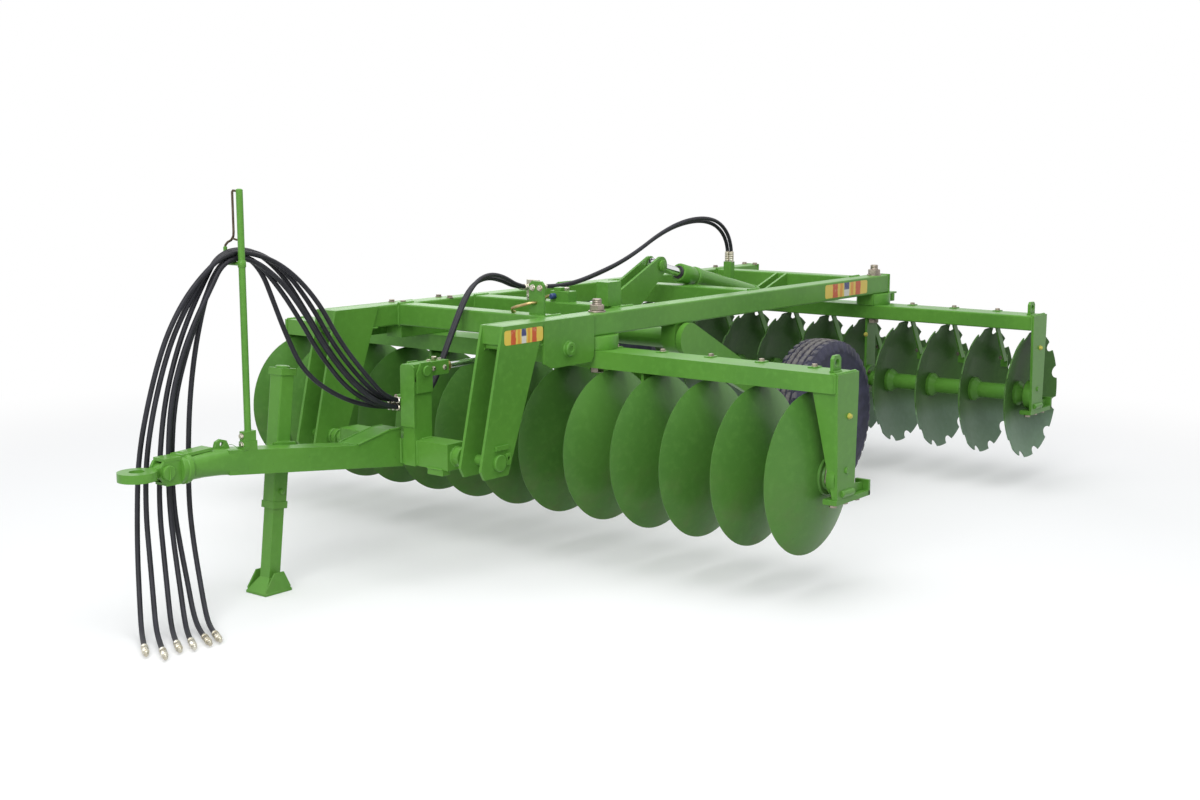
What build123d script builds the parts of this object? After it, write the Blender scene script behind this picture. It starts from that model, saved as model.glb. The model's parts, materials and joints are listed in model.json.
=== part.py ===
from build123d import *
import math
import os

os.makedirs("parts", exist_ok=True)

# Trailed offset disc harrow, in millimetres.
# X points forward to the hitch, Y to the left, Z up, and the floor is z = 0.

# Discs and gangs
disc_radius = 305.0
disc_thickness = 6.0
disc_sphere_radius = 640.0
disc_flat_radius = 62.0
disc_count = 13
disc_spacing = 230.0
notch_count = 12
notch_radius = 34.0
notch_setback = 6.0
gang_axis_z = 435.0
gang_distance = 2270.0
first_hub_y = 1520.0
axle_radius = 22.0
spool_flange_radius = 58.0
spool_flange_width = 14.0
spool_flare_width = 40.0
spool_waist_radius = 38.0
fit_gap = 0.05
face_gap = 0.3

# Gang beams and the hangers that carry the bearings
gang_beam_width = 150.0
gang_beam_height = 70.0
gang_beam_clearance = 10.0
hanger_thickness = 12.0
hanger_end_offset = 68.0
hanger_rim_gap = 16.0
hanger_bottom_drop = 72.0
hanger_bottom_width = 120.0
flange_top_reach = 100.0
flange_bottom_reach = 10.0
bearing_radius = 68.0
bearing_width = 34.0
inner_hanger_width = 90.0
inner_hanger_gaps = (3, 8)
scraper_arm_width = 40.0
scraper_arm_thickness = 8.0
scraper_reach = 190.0
scraper_rim_gap = 9.0
scraper_blade_setback = 62.0
scraper_blade_thickness = 8.0
scraper_blade_height = 60.0

# Main frame
beam_y = 450.0
beam_width = 90.0
beam_height = 90.0
beam_gap = 55.0
beam_front_x = 615.0
beam_left_rear = 75.0
beam_right_rear = 240.0
cross_tube_offsets = (220.0, -250.0, -1215.0, -2150.0)
pivot_pin_radius = 20.0
pad_length = 170.0
slide_travel_pad = 165.0
bracket_plate = 12.0
bracket_top_rear_x = 390.0
bracket_bottom_rear_x = 605.0
bracket_bottom_front_x = 755.0
bracket_cap_depth = 70.0

# Tow frame
tow_hinge_x = 660.0
tow_hinge_z = 460.0
tow_pin_radius = 20.0
tow_tube_half = 290.0
tow_tube_size = 100.0
drawbar_width = 100.0
drawbar_height = 88.0
drawbar_nose_x = 1535.0
drawbar_nose_z = 541.0
nose_tube_radius = 43.0
nose_tube_end_x = 1690.0
drawbar_tail_z = 441.0
hood_length = 230.0
hood_rise = 40.0
hood_flat = 60.0
mast_y = 105.0
mast_width = 60.0
mast_rear_x = 627.0
mast_front_x = 710.0
mast_top_z = 735.0
mast_plate = 12.0
mast_ear_bottom_z = 690.0
mast_ear_top_z = 806.0
mast_ear_thickness = 8.0
collar_radius = 52.0
collar_length = 34.0
clevis_plate = 12.0
clevis_height = 74.0
clevis_gap = 40.0
clevis_pin_x = 1780.0
clevis_pin_radius = 15.0
clevis_end_x = 1806.0
hitch_z = 545.0
eye_x = 1880.0
eye_radius = 65.0
eye_hole_radius = 26.0
eye_thickness = 30.0

# Jack
jack_x = 1207.0
jack_tube_size = 62.0
jack_tube_wall = 5.0
jack_tube_below = 192.0
jack_tube_above = 321.0
jack_leg_above = 90.0
jack_leg_bottom_z = 55.0
jack_foot_length = 125.0
jack_foot_width = 110.0
jack_foot_base = 8.0
jack_bracket_half = 54.0
jack_bracket_flange = 20.0

# Levelling cylinder between the mast and the frame
leveller_z = 775.0
leveller_mast_x = 668.0
leveller_frame_x = 220.0
leveller_pin_radius = 12.0
leveller_box_front_x = 715.0
leveller_box_rear_x = 525.0
leveller_box_size = 54.0
leveller_rod_radius = 14.0
leveller_rod_inside = 80.0
leveller_bore_spare = 45.0
leveller_eye_radius = 28.0
leveller_eye_width = 24.0
leveller_eye_play = 9.0

# Rockshaft, wheel arms and lift cylinder
shaft_x = -550.0
shaft_z = 805.0
shaft_radius = 44.5
shaft_half = 522.0
shaft_block_length = 130.0
shaft_block_width = 70.0
shaft_block_below = 62.0
arm_thickness = 25.0
arm_root_radius = 72.0
arm_tip_radius = 48.0
wheel_x = -1460.0
wheel_radius = 365.0
wheel_y = 625.0
tyre_width = 180.0
tyre_bore_radius = 205.0
tyre_shoulder = 42.0
rim_width = 150.0
rim_wall = 8.0
rim_lip = 16.0
hub_radius = 62.0
stub_radius = 25.0
crank_tip_x = -1000.0
crank_tip_z = 1070.0
crank_gap = 50.0
crank_plate = 14.0
crank_root_radius = 100.0
crank_tip_radius = 42.0
cylinder_pin_x = -1890.0
cylinder_pin_z = 862.0
cylinder_pin_radius = 15.0
cylinder_eye_radius = 34.0
cylinder_eye_width = 40.0
cylinder_eye_play = 10.0
barrel_radius = 45.0
barrel_start = 50.0
barrel_end = 600.0
piston_rod_radius = 22.5
piston_rod_inside = 560.0
cylinder_lug_thickness = 14.0
cylinder_lug_margin = 32.0
cylinder_lug_gap = 2.0
port_along = 176.0
port_side = 90.0
port_top_z = 1043.0
port_half = 16.0

# Hose stand
stand_x = 1440.0
stand_y = 34.0
stand_radius = 12.0
stand_top_z = 1475.0
stand_base = 56.0
stand_base_width = 32.0
stand_base_height = 30.0
hook_drop = 253.0
hook_reach = 86.0
hook_radius = 7.0
hook_tip = 55.0

# Hoses and what they end in
hose_radius = 9.0
fitting_radius = 10.0
fitting_root = 5.0
crimp_length = 40.0
manifold_rear_x = 645.0
manifold_depth = 25.0
manifold_width = 90.0
manifold_top_z = 668.0
manifold_bottom_z = 607.0
manifold_stub = 15.0
bulkhead_plate = 12.0
stop_box_x = -275.0
stop_box_length = 90.0
stop_box_y = 300.0
stop_box_width = 60.0
stop_box_height = 100.0
stop_box_rib = 10.0
stop_box_rib_reach = 45.0
bulkhead_inner_y = -34.0
bulkhead_outer_y = -100.0
bulkhead_height = 87.0
coupling_radius = 12.0
coupling_length = 60.0
coupling_nose_radius = 8.0
coupling_nose_length = 30.0

# Centre lines of the six supply hoses, from the manifold over the hook down to the floor
supply_routes = (
    (
        (1000, 43, 650), (1078, 40, 664), (1175, 35, 757), (1300, 21, 905), (1400, 15, 1070),
        (1535, 7, 1198), (1690, 10, 1259), (1810, 10, 1259), (1902, -6, 1182), (1966, -35, 1090),
        (2022, -65, 960), (2070, -92, 775), (2104, -116, 580), (2122, -112, 390), (2142, -92, 245),
        (2172, -50, 125), (2212, 8, 40), (2255, 75, 13), (2296, 140, 13),
    ),
    (
        (1000, 20, 650), (1082, 15, 662), (1188, 7, 750), (1312, -4, 895), (1410, -9, 1052),
        (1528, -12, 1188), (1664, -10, 1265), (1806, -10, 1262), (1880, -24, 1172), (1940, -46, 1075),
        (1998, -68, 945), (2054, -84, 757), (2090, -94, 570), (2104, -88, 390), (2118, -58, 250),
        (2146, -10, 130), (2188, 55, 42), (2234, 135, 13), (2280, 214, 13),
    ),
    (
        (1000, -3, 650), (1086, -8, 660), (1203, -20, 742), (1325, -29, 888), (1422, -31, 1035),
        (1522, -32, 1172), (1652, -30, 1268), (1800, -30, 1264), (1868, -40, 1152), (1916, -54, 1055),
        (1966, -68, 930), (2012, -82, 765), (2036, -92, 570), (2050, -86, 390), (2064, -54, 250),
        (2090, -6, 130), (2128, 56, 42), (2168, 124, 13), (2206, 190, 13),
    ),
    (
        (1000, 43, 625), (1085, 39, 634), (1225, 24, 722), (1362, 9, 882), (1458, 9, 1028),
        (1560, 9, 1150), (1692, 10, 1239), (1812, 10, 1239), (1874, 3, 1133), (1918, -18, 1040),
        (1960, -42, 925), (2002, -62, 765), (2018, -70, 570), (2024, -64, 390), (2034, -32, 255),
        (2054, 16, 135), (2086, 75, 45), (2124, 140, 13), (2160, 204, 13),
    ),
    (
        (1000, 20, 625), (1088, 15, 632), (1240, -4, 712), (1372, -15, 868), (1464, -12, 1003),
        (1555, -12, 1125), (1672, -10, 1242), (1780, -10, 1242), (1844, -15, 1174), (1888, -34, 1062),
        (1932, -60, 925), (1974, -78, 763), (1990, -88, 570), (1992, -84, 390), (1996, -50, 255),
        (2010, 0, 138), (2038, 62, 46), (2072, 135, 13), (2106, 206, 13),
    ),
    (
        (1000, -3, 625), (1095, -6, 630), (1270, -22, 688), (1436, -26, 800), (1516, -25, 945),
        (1572, -30, 1085), (1612, -31, 1179), (1680, -30, 1245), (1764, -30, 1245), (1830, -34, 1180),
        (1866, -46, 1070), (1896, -60, 925), (1915, -74, 755), (1926, -80, 565), (1932, -78, 390),
        (1940, -50, 255), (1960, 2, 138), (1990, 64, 46), (2028, 135, 13), (2062, 204, 13),
    ),
)

# Centre lines of the two hoses from the bulkhead forward to the manifold, and of the two back to the cylinder
link_routes = (
    (
        (140, -56, 1022), (216, -56, 1034), (302, -55, 1078), (402, -43, 1098), (502, -24, 1080),
        (586, -5, 1022), (658, 10, 934), (728, 23, 838), (788, 30, 745), (836, 34, 678),
        (910, 34, 645),
    ),
    (
        (140, -80, 1022), (214, -80, 1030), (300, -79, 1064), (398, -68, 1081), (494, -50, 1065),
        (576, -31, 1012), (646, -16, 926), (712, -4, 832), (772, 5, 741), (828, 9, 672),
        (910, 10, 645),
    ),
)
lift_routes = (
    (
        (70, -56, 1022), (-50, -56, 1014), (-190, -56, 1026), (-340, -56, 1056), (-500, -56, 1094),
        (-650, -56, 1147), (-785, -56, 1204), (-920, -56, 1246), (-1050, -56, 1268), (-1180, -56, 1270),
        (-1290, -56, 1246), (-1368, -56, 1190), (-1404, -56, 1118),
    ),
    (
        (70, -78, 1022), (-46, -78, 1010), (-190, -78, 1016), (-345, -78, 1044), (-505, -78, 1082),
        (-655, -78, 1133), (-790, -78, 1190), (-922, -78, 1231), (-1050, -78, 1252), (-1176, -78, 1255),
        (-1284, -78, 1234), (-1364, -78, 1184), (-1403, -78, 1118),
    ),
)

# Places worked out from the sizes
front_reach = eye_x + eye_radius
rear_reach = gang_distance + disc_radius
front_x = (rear_reach - front_reach) / 2
rear_x = front_x - gang_distance
beam_bottom_z = gang_axis_z + disc_radius + gang_beam_clearance
beam_top_z = beam_bottom_z + gang_beam_height
frame_bottom_z = beam_top_z + beam_gap
frame_top_z = frame_bottom_z + beam_height
rim_setback = math.sqrt(disc_sphere_radius**2 - disc_flat_radius**2) - math.sqrt(
    disc_sphere_radius**2 - disc_radius**2
)
last_hub_y = first_hub_y - disc_spacing * (disc_count - 1)
hanger_long_y = first_hub_y + hanger_end_offset
hanger_short_y = last_hub_y - disc_thickness - rim_setback - hanger_rim_gap
hook_z = stand_top_z - hook_drop


def block(x0, x1, y0, y1, z0, z1, mode=Mode.ADD):
    """A box between two corners."""
    with Locations(((x0 + x1) / 2, (y0 + y1) / 2, (z0 + z1) / 2)):
        Box(abs(x1 - x0), abs(y1 - y0), abs(z1 - z0), mode=mode)


def side_plate(points, y0, y1, mode=Mode.ADD):
    """A plate with its outline in the XZ plane, from y0 to y1."""
    low, high = min(y0, y1), max(y0, y1)
    with BuildSketch(Plane.XZ.offset(-high)) as outline:
        Polygon(*points, align=None)
    extrude(outline.sketch, amount=high - low, mode=mode)


def side_round(x, z, radius, y0, y1, mode=Mode.ADD):
    """A round bar along Y."""
    low, high = min(y0, y1), max(y0, y1)
    with BuildSketch(Plane.XZ.offset(-high)) as section:
        with Locations((x, z)):
            Circle(radius)
    extrude(section.sketch, amount=high - low, mode=mode)


def side_link(x0, z0, r0, x1, z1, r1, y0, y1):
    """A plate with two round ends, from y0 to y1."""
    low, high = min(y0, y1), max(y0, y1)
    with BuildSketch(Plane.XZ.offset(-high)) as outline:
        with Locations((x0, z0)):
            Circle(r0)
        with Locations((x1, z1)):
            Circle(r1)
        make_hull()
    extrude(outline.sketch, amount=high - low)


def round_bar(start, end, radius, mode=Mode.ADD):
    """A round bar between two points."""
    a, b = Vector(*start), Vector(*end)
    with BuildSketch(Plane(origin=a, z_dir=b - a)) as section:
        Circle(radius)
    extrude(section.sketch, amount=(b - a).length, mode=mode)


def fitting(route, length):
    """The fitting that a hose starts from, in line with its first run."""
    start = Vector(*route[0])
    way = (Vector(*route[1]) - start).normalized()
    round_bar(start - way * length, start, fitting_radius)


def hose(route, name):
    """A hose of round section along straight runs joined by arcs."""
    points = [Vector(*point) for point in route]
    runs = [points[i + 1] - points[i] for i in range(len(points) - 1)]
    radii = []
    for before, after in zip(runs, runs[1:]):
        shorter = min(before.length, after.length)
        radii.append(0.45 * shorter / math.tan(math.radians(before.get_angle(after) / 2)))
    with BuildPart() as tube:
        with BuildLine() as centre:
            FilletPolyline(*points, radius=radii)
        with BuildSketch(Plane(origin=points[0], z_dir=runs[0])):
            Circle(hose_radius)
        sweep(path=centre.line)
    length = sum(edge.length for edge in centre.edges())
    share = tube.part.volume / (math.pi * hose_radius**2 * length)
    print(name, "length", round(length), "volume over section times length", round(share, 4))
    print("  radii", [round(radius) for radius in radii])
    finish(tube, name)


def finish(piece, name):
    piece.part.label = name
    export_step(piece.part, f"parts/{name}.step")


def hub_y(index, hand):
    """The convex face of a disc's flat centre; hand is 1 on the front gang and -1 on the rear gang."""
    return hand * (first_hub_y - disc_spacing * index)


def disc_face(radius, sphere, start):
    """How far a face of the disc has gone back at a radius."""
    return start + math.sqrt(sphere**2 - disc_flat_radius**2) - math.sqrt(sphere**2 - radius**2)


def disc_outline(hub, hand, bore):
    """Half the section of one dished disc, as y and radius."""
    inner = disc_sphere_radius - disc_thickness
    middle = (disc_flat_radius + disc_radius) / 2
    inner_rim = disc_radius - disc_thickness * disc_radius / disc_sphere_radius
    convex_middle = (hub - hand * disc_face(middle, disc_sphere_radius, 0), middle)
    convex_rim = (hub - hand * disc_face(disc_radius, disc_sphere_radius, 0), disc_radius)
    concave_rim = (hub - hand * disc_face(inner_rim, inner, disc_thickness), inner_rim)
    concave_middle = (hub - hand * disc_face(middle, inner, disc_thickness), middle)
    concave_flat = (hub - hand * disc_thickness, disc_flat_radius)
    with BuildLine() as section:
        Line((hub, bore), (hub, disc_flat_radius))
        ThreePointArc((hub, disc_flat_radius), convex_middle, convex_rim)
        Line(convex_rim, concave_rim)
        ThreePointArc(concave_rim, concave_middle, concave_flat)
        Line(concave_flat, (hub - hand * disc_thickness, bore))
        Line((hub - hand * disc_thickness, bore), (hub, bore))
    make_face(section.edges())


def gang_plane(x):
    """Sketch plane through a gang's axis: its x is the part's Y, its y is the radius."""
    return Plane(origin=(x, 0, gang_axis_z), x_dir=(0, 1, 0), z_dir=(1, 0, 0))


def gang_axis(x):
    return Axis((x, 0, gang_axis_z), (0, 1, 0))


# Disc gangs: the discs, and the axle with its spools
for gang, x, hand in (("front", front_x, 1), ("rear", rear_x, -1)):
    with BuildPart() as discs:
        for index in range(disc_count):
            with BuildSketch(gang_plane(x)):
                disc_outline(hub_y(index, hand), hand, axle_radius + fit_gap)
            revolve(axis=gang_axis(x))
        if gang == "rear":
            with BuildSketch(Plane.XZ.offset(-2 * first_hub_y)):
                with Locations((x, gang_axis_z)):
                    with PolarLocations(disc_radius + notch_setback, notch_count, 180 / notch_count):
                        Circle(notch_radius)
            extrude(amount=4 * first_hub_y, mode=Mode.SUBTRACT)
    finish(discs, f"{gang}_discs")

    with BuildPart() as axle:
        outline = []
        for index in range(disc_count - 1):
            high = hub_y(index, hand) - hand * disc_thickness
            low = hub_y(index + 1, hand)
            spool = (
                (high, axle_radius),
                (high, spool_flange_radius),
                (high - hand * spool_flange_width, spool_flange_radius),
                (high - hand * spool_flare_width, spool_waist_radius),
                (low + hand * spool_flare_width, spool_waist_radius),
                (low + hand * spool_flange_width, spool_flange_radius),
                (low, spool_flange_radius),
                (low, axle_radius),
            )
            outline += spool
        long_end = hand * hanger_long_y
        short_end = hand * hanger_short_y
        washer = hub_y(0, hand)
        last = hub_y(disc_count - 1, hand) - hand * disc_thickness
        start = (
            (long_end, 0),
            (long_end, axle_radius + 8),
            (washer + hand * 24, axle_radius + 8),
            (washer + hand * 16, spool_flange_radius - 14),
            (washer, spool_flange_radius - 14),
            (washer, axle_radius),
        )
        stop = (
            (last, axle_radius),
            (last, spool_flange_radius),
            (last - hand * spool_flange_width, spool_flange_radius),
            (last - hand * spool_flare_width, axle_radius + 8),
            (short_end, axle_radius + 8),
            (short_end, 0),
        )
        with BuildSketch(gang_plane(x)):
            Polygon(*start, *outline, *stop, align=None)
        revolve(axis=gang_axis(x))
    finish(axle, f"{gang}_axle")

# Gang frames: the beam, the hangers with their bearings, and the scrapers
end_bore = axle_radius + 8 + fit_gap
waist_bore = spool_waist_radius + fit_gap
half_beam = gang_beam_width / 2
half_foot = hanger_bottom_width / 2
hanger_bottom_z = gang_axis_z - hanger_bottom_drop
for gang, x, hand in (("front", front_x, 1), ("rear", rear_x, -1)):
    long_y = hand * hanger_long_y
    short_y = hand * hanger_short_y
    with BuildPart() as beam:
        block(x - half_beam, x + half_beam, long_y, short_y, beam_bottom_z, beam_top_z)
        with BuildSketch(Plane.XY.offset(beam_bottom_z - 1)):
            with Locations((x, beam_y)):
                Circle(pivot_pin_radius + fit_gap)
        extrude(amount=gang_beam_height + 2, mode=Mode.SUBTRACT)
    finish(beam, f"{gang}_gang_beam")

    with BuildPart() as hangers:
        for inner_face, out in ((long_y, hand), (short_y, -hand)):
            outer_face = inner_face + out * hanger_thickness
            outline = (
                (x - half_beam, beam_top_z),
                (x + half_beam, beam_top_z),
                (x + half_beam, beam_bottom_z),
                (x + half_foot, hanger_bottom_z),
                (x - half_foot, hanger_bottom_z),
                (x - half_beam, beam_bottom_z),
            )
            side_plate(outline, inner_face, outer_face)
            side_round(x, gang_axis_z, bearing_radius, inner_face, inner_face - out * bearing_width)
            side_round(
                x, gang_axis_z, end_bore, inner_face, inner_face - out * bearing_width, Mode.SUBTRACT
            )
        long_inner = long_y - hand * flange_top_reach
        for edge, foot in ((half_beam, half_foot), (-half_beam, -half_foot)):
            side = math.copysign(1, edge)
            flange_top = ((long_inner, beam_bottom_z), (long_y, beam_bottom_z))
            flange_foot = ((long_y, hanger_bottom_z), (long_y - hand * flange_bottom_reach, hanger_bottom_z))
            with BuildSketch(Plane.YZ.offset(x + foot - side * hanger_thickness)):
                Polygon(*flange_top, *flange_foot, align=None)
            extrude(amount=side * hanger_thickness)
        for gap in inner_hanger_gaps:
            middle = hub_y(gap + 1, hand) + hand * (disc_spacing - disc_thickness) / 2
            low, high = middle - hanger_thickness / 2, middle + hanger_thickness / 2
            half = inner_hanger_width / 2
            block(x - half, x + half, low, high, gang_axis_z, beam_bottom_z)
            side_round(
                x, gang_axis_z, bearing_radius, middle - bearing_width / 2, middle + bearing_width / 2
            )
            side_round(
                x,
                gang_axis_z,
                waist_bore,
                middle - bearing_width / 2,
                middle + bearing_width / 2,
                Mode.SUBTRACT,
            )
    finish(hangers, f"{gang}_hangers")

    with BuildPart() as scrapers:
        for index in range(disc_count - 1):
            dish = hub_y(index, hand) - hand * disc_thickness
            arm_y = dish - hand * (rim_setback + scraper_rim_gap)
            arm_end_y = arm_y - hand * scraper_arm_thickness
            tip_x = x - scraper_reach
            tip_z = beam_bottom_z - scraper_reach
            arm = (
                (x - half_beam, beam_bottom_z),
                (x - half_beam + scraper_arm_width, beam_bottom_z),
                (tip_x + scraper_arm_width, tip_z),
                (tip_x, tip_z),
            )
            side_plate(arm, arm_y, arm_end_y)
            block(
                tip_x,
                tip_x + scraper_blade_thickness,
                hub_y(index, hand) - hand * scraper_blade_setback,
                arm_end_y,
                tip_z - scraper_blade_height / 2,
                tip_z + scraper_blade_height / 2,
            )
    finish(scrapers, f"{gang}_scrapers")

# Main beams
half_width = beam_width / 2
with BuildPart() as main_beams:
    for hand, rear_length in ((1, beam_left_rear), (-1, beam_right_rear)):
        block(
            rear_x - rear_length,
            front_x + beam_front_x,
            hand * beam_y - half_width,
            hand * beam_y + half_width,
            frame_bottom_z,
            frame_top_z,
        )
finish(main_beams, "main_beams")

with BuildPart() as cross_tubes:
    for offset in cross_tube_offsets:
        block(
            front_x + offset - half_width,
            front_x + offset + half_width,
            half_width - beam_y,
            beam_y - half_width,
            frame_bottom_z,
            frame_top_z,
        )
finish(cross_tubes, "cross_tubes")

# Drop brackets: two plates on each main beam, with a cap across their front
tow_x = front_x + tow_hinge_x
bracket_bottom_z = tow_hinge_z - 55
bracket_outline = (
    (front_x + bracket_top_rear_x, frame_top_z),
    (front_x + beam_front_x + 12, frame_top_z),
    (front_x + bracket_bottom_front_x, tow_hinge_z - 20),
    (front_x + bracket_bottom_front_x - 20, bracket_bottom_z),
    (front_x + bracket_bottom_rear_x, bracket_bottom_z),
)
with BuildPart() as brackets:
    for hand in (1, -1):
        for edge in (-1, 1):
            inner_face = hand * beam_y + edge * half_width
            outer_face = inner_face + edge * bracket_plate
            side_plate(bracket_outline, inner_face, outer_face)
            side_round(tow_x, tow_hinge_z, tow_pin_radius + fit_gap, inner_face, outer_face, Mode.SUBTRACT)
        block(
            front_x + beam_front_x,
            front_x + beam_front_x + 12,
            hand * beam_y - half_width,
            hand * beam_y + half_width,
            frame_top_z - bracket_cap_depth,
            frame_top_z,
        )
finish(brackets, "drop_brackets")

# Gang pads: the pivot pins on the left, the slides on the right
with BuildPart() as pads:
    for x, sign in ((front_x, 1), (rear_x, -1)):
        with BuildSketch(Plane.XY.offset(beam_top_z + face_gap)):
            with Locations((x, beam_y)):
                Circle(pad_length / 2)
                Rectangle(pad_length, beam_width)
        extrude(amount=beam_gap - face_gap)
        with BuildSketch(Plane.XY.offset(beam_bottom_z + 2)):
            with Locations((x, beam_y)):
                Circle(pivot_pin_radius)
        extrude(amount=gang_beam_height + beam_gap - 2)
        slide = (x - sign * pad_length / 2, x + sign * (pad_length / 2 + slide_travel_pad))
        block(
            min(slide),
            max(slide),
            -beam_y - half_width,
            half_width - beam_y,
            beam_top_z + face_gap,
            frame_bottom_z,
        )
finish(pads, "gang_pads")

# Rockshaft bearings under the main beams
rock_x = front_x + shaft_x
with BuildPart() as shaft_blocks:
    for hand in (1, -1):
        y0 = hand * beam_y - shaft_block_width / 2
        y1 = hand * beam_y + shaft_block_width / 2
        half = shaft_block_length / 2
        block(rock_x - half, rock_x + half, y0, y1, shaft_z, frame_bottom_z)
        side_round(rock_x, shaft_z, shaft_block_below, y0, y1)
        side_round(rock_x, shaft_z, shaft_radius + fit_gap, y0, y1, Mode.SUBTRACT)
finish(shaft_blocks, "rockshaft_bearings")

# Rockshaft with its crank
crank_x = front_x + crank_tip_x
with BuildPart() as rockshaft:
    side_round(rock_x, shaft_z, shaft_radius, -shaft_half, shaft_half)
    for hand in (1, -1):
        near = hand * crank_gap / 2
        far = near + hand * crank_plate
        side_link(rock_x, shaft_z, crank_root_radius, crank_x, crank_tip_z, crank_tip_radius, near, far)
    side_round(crank_x, crank_tip_z, cylinder_pin_radius, -crank_gap / 2, crank_gap / 2)
finish(rockshaft, "rockshaft")

# Wheel arms with their stub axles
axle_x = front_x + wheel_x
with BuildPart() as arms:
    for hand in (1, -1):
        near = hand * (shaft_half - arm_thickness)
        far = hand * shaft_half
        side_link(rock_x, shaft_z, arm_root_radius, axle_x, wheel_radius, arm_tip_radius, near, far)
        side_round(rock_x, shaft_z, shaft_radius, near, far, Mode.SUBTRACT)
        side_round(axle_x, wheel_radius, stub_radius, far, hand * (wheel_y + rim_width / 2))
finish(arms, "wheel_arms")

# Wheels
for side, hand in (("left", 1), ("right", -1)):
    centre_y = hand * wheel_y
    wheel_plane = Plane(origin=(axle_x, centre_y, wheel_radius), x_dir=(0, 1, 0), z_dir=(1, 0, 0))
    wheel_axis = Axis((axle_x, centre_y, wheel_radius), (0, 1, 0))
    half = tyre_width / 2
    with BuildPart() as tyre:
        with BuildSketch(wheel_plane):
            Polygon(
                (-rim_width / 2, tyre_bore_radius),
                (-half, tyre_bore_radius + 45),
                (-half, wheel_radius - tyre_shoulder),
                (-half + tyre_shoulder, wheel_radius),
                (half - tyre_shoulder, wheel_radius),
                (half, wheel_radius - tyre_shoulder),
                (half, tyre_bore_radius + 45),
                (rim_width / 2, tyre_bore_radius),
                align=None,
            )
        revolve(axis=wheel_axis)
    finish(tyre, f"tyre_{side}")
    with BuildPart() as rim:
        well = tyre_bore_radius - rim_wall
        with BuildSketch(wheel_plane):
            Polygon(
                (-rim_width / 2, tyre_bore_radius),
                (rim_width / 2, tyre_bore_radius),
                (rim_width / 2, well),
                (rim_lip, well),
                (rim_lip, hub_radius),
                (rim_width / 2 - 8, hub_radius),
                (rim_width / 2 - 8, stub_radius + fit_gap),
                (-rim_width / 2 + 8, stub_radius + fit_gap),
                (-rim_width / 2 + 8, hub_radius),
                (rim_lip - 10, hub_radius),
                (rim_lip - 10, well),
                (-rim_width / 2, well),
                align=None,
            )
        revolve(axis=wheel_axis)
    finish(rim, f"rim_{side}")

# Lift cylinder, from the rear cross tube to the crank
pin_x = front_x + cylinder_pin_x
lift_start = Vector(pin_x, 0, cylinder_pin_z)
lift_end = Vector(crank_x, 0, crank_tip_z)
lift_way = (lift_end - lift_start).normalized()
lift_length = (lift_end - lift_start).length
rear_tube_front = front_x + cross_tube_offsets[-1] + half_width
frame_pin_x = front_x + leveller_frame_x
half_eye = leveller_eye_width / 2
with BuildPart() as lugs:
    cylinder_lug = (
        (rear_tube_front, frame_top_z),
        (rear_tube_front, frame_bottom_z),
        (pin_x - cylinder_lug_margin / 2, cylinder_pin_z - cylinder_lug_margin),
        (pin_x + cylinder_lug_margin, cylinder_pin_z - cylinder_lug_margin / 2),
        (pin_x + cylinder_lug_margin, cylinder_pin_z + cylinder_lug_margin / 2),
        (pin_x, cylinder_pin_z + cylinder_lug_margin),
    )
    cylinder_near = cylinder_eye_width / 2 + cylinder_lug_gap
    cylinder_far = cylinder_near + cylinder_lug_thickness
    leveller_lug = (
        (frame_pin_x - 40, frame_bottom_z),
        (frame_pin_x + 40, frame_bottom_z),
        (frame_pin_x + 26, leveller_z - 28),
        (frame_pin_x - 26, leveller_z - 28),
    )
    for hand in (1, -1):
        side_plate(cylinder_lug, hand * cylinder_near, hand * cylinder_far)
        side_plate(leveller_lug, mast_y + hand * (half_eye + 2), mast_y + hand * (half_eye + 14))
    side_round(pin_x, cylinder_pin_z, cylinder_pin_radius, -cylinder_far, cylinder_far)
    side_round(
        frame_pin_x, leveller_z, leveller_pin_radius, mast_y - half_eye - 14, mast_y + half_eye + 14
    )
    box_x = front_x + stop_box_x
    block(
        box_x,
        box_x + stop_box_length,
        stop_box_y,
        stop_box_y + stop_box_width,
        frame_top_z,
        frame_top_z + stop_box_height,
    )
    rib = (
        (box_x, frame_top_z),
        (box_x, frame_top_z + stop_box_height),
        (box_x - stop_box_rib_reach, frame_top_z),
    )
    rib_y = stop_box_y + (stop_box_width - stop_box_rib) / 2
    side_plate(rib, rib_y, rib_y + stop_box_rib)
finish(lugs, "frame_lugs")

with BuildPart() as barrel:
    side_round(
        pin_x, cylinder_pin_z, cylinder_eye_radius, -cylinder_eye_width / 2, cylinder_eye_width / 2
    )
    round_bar(lift_start + lift_way * 20, lift_start + lift_way * (barrel_start + 10), 20)
    round_bar(lift_start + lift_way * barrel_start, lift_start + lift_way * barrel_end, barrel_radius)
    port = lift_start + lift_way * port_along
    port_x, port_y = lift_routes[0][-1][0], lift_routes[0][-1][1]
    block(port_x - port_half, port_x + port_half, 0, -port_side, port.Z - 20, port.Z + 20)
    block(
        port_x - port_half, port_x + port_half, port_y + fitting_radius, -port_side, port.Z, port_top_z
    )
    for route in lift_routes:
        crimp = (route[-1][0], route[-1][1], port_top_z)
        round_bar(crimp, (*crimp[:2], port_top_z + crimp_length), fitting_radius)
    round_bar(
        lift_start + lift_way * (barrel_start + 40),
        lift_start + lift_way * (barrel_end + 1),
        piston_rod_radius + fit_gap,
        Mode.SUBTRACT,
    )
    side_round(
        pin_x,
        cylinder_pin_z,
        cylinder_pin_radius + fit_gap,
        -cylinder_eye_width / 2,
        cylinder_eye_width / 2,
        Mode.SUBTRACT,
    )
finish(barrel, "lift_barrel")

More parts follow.
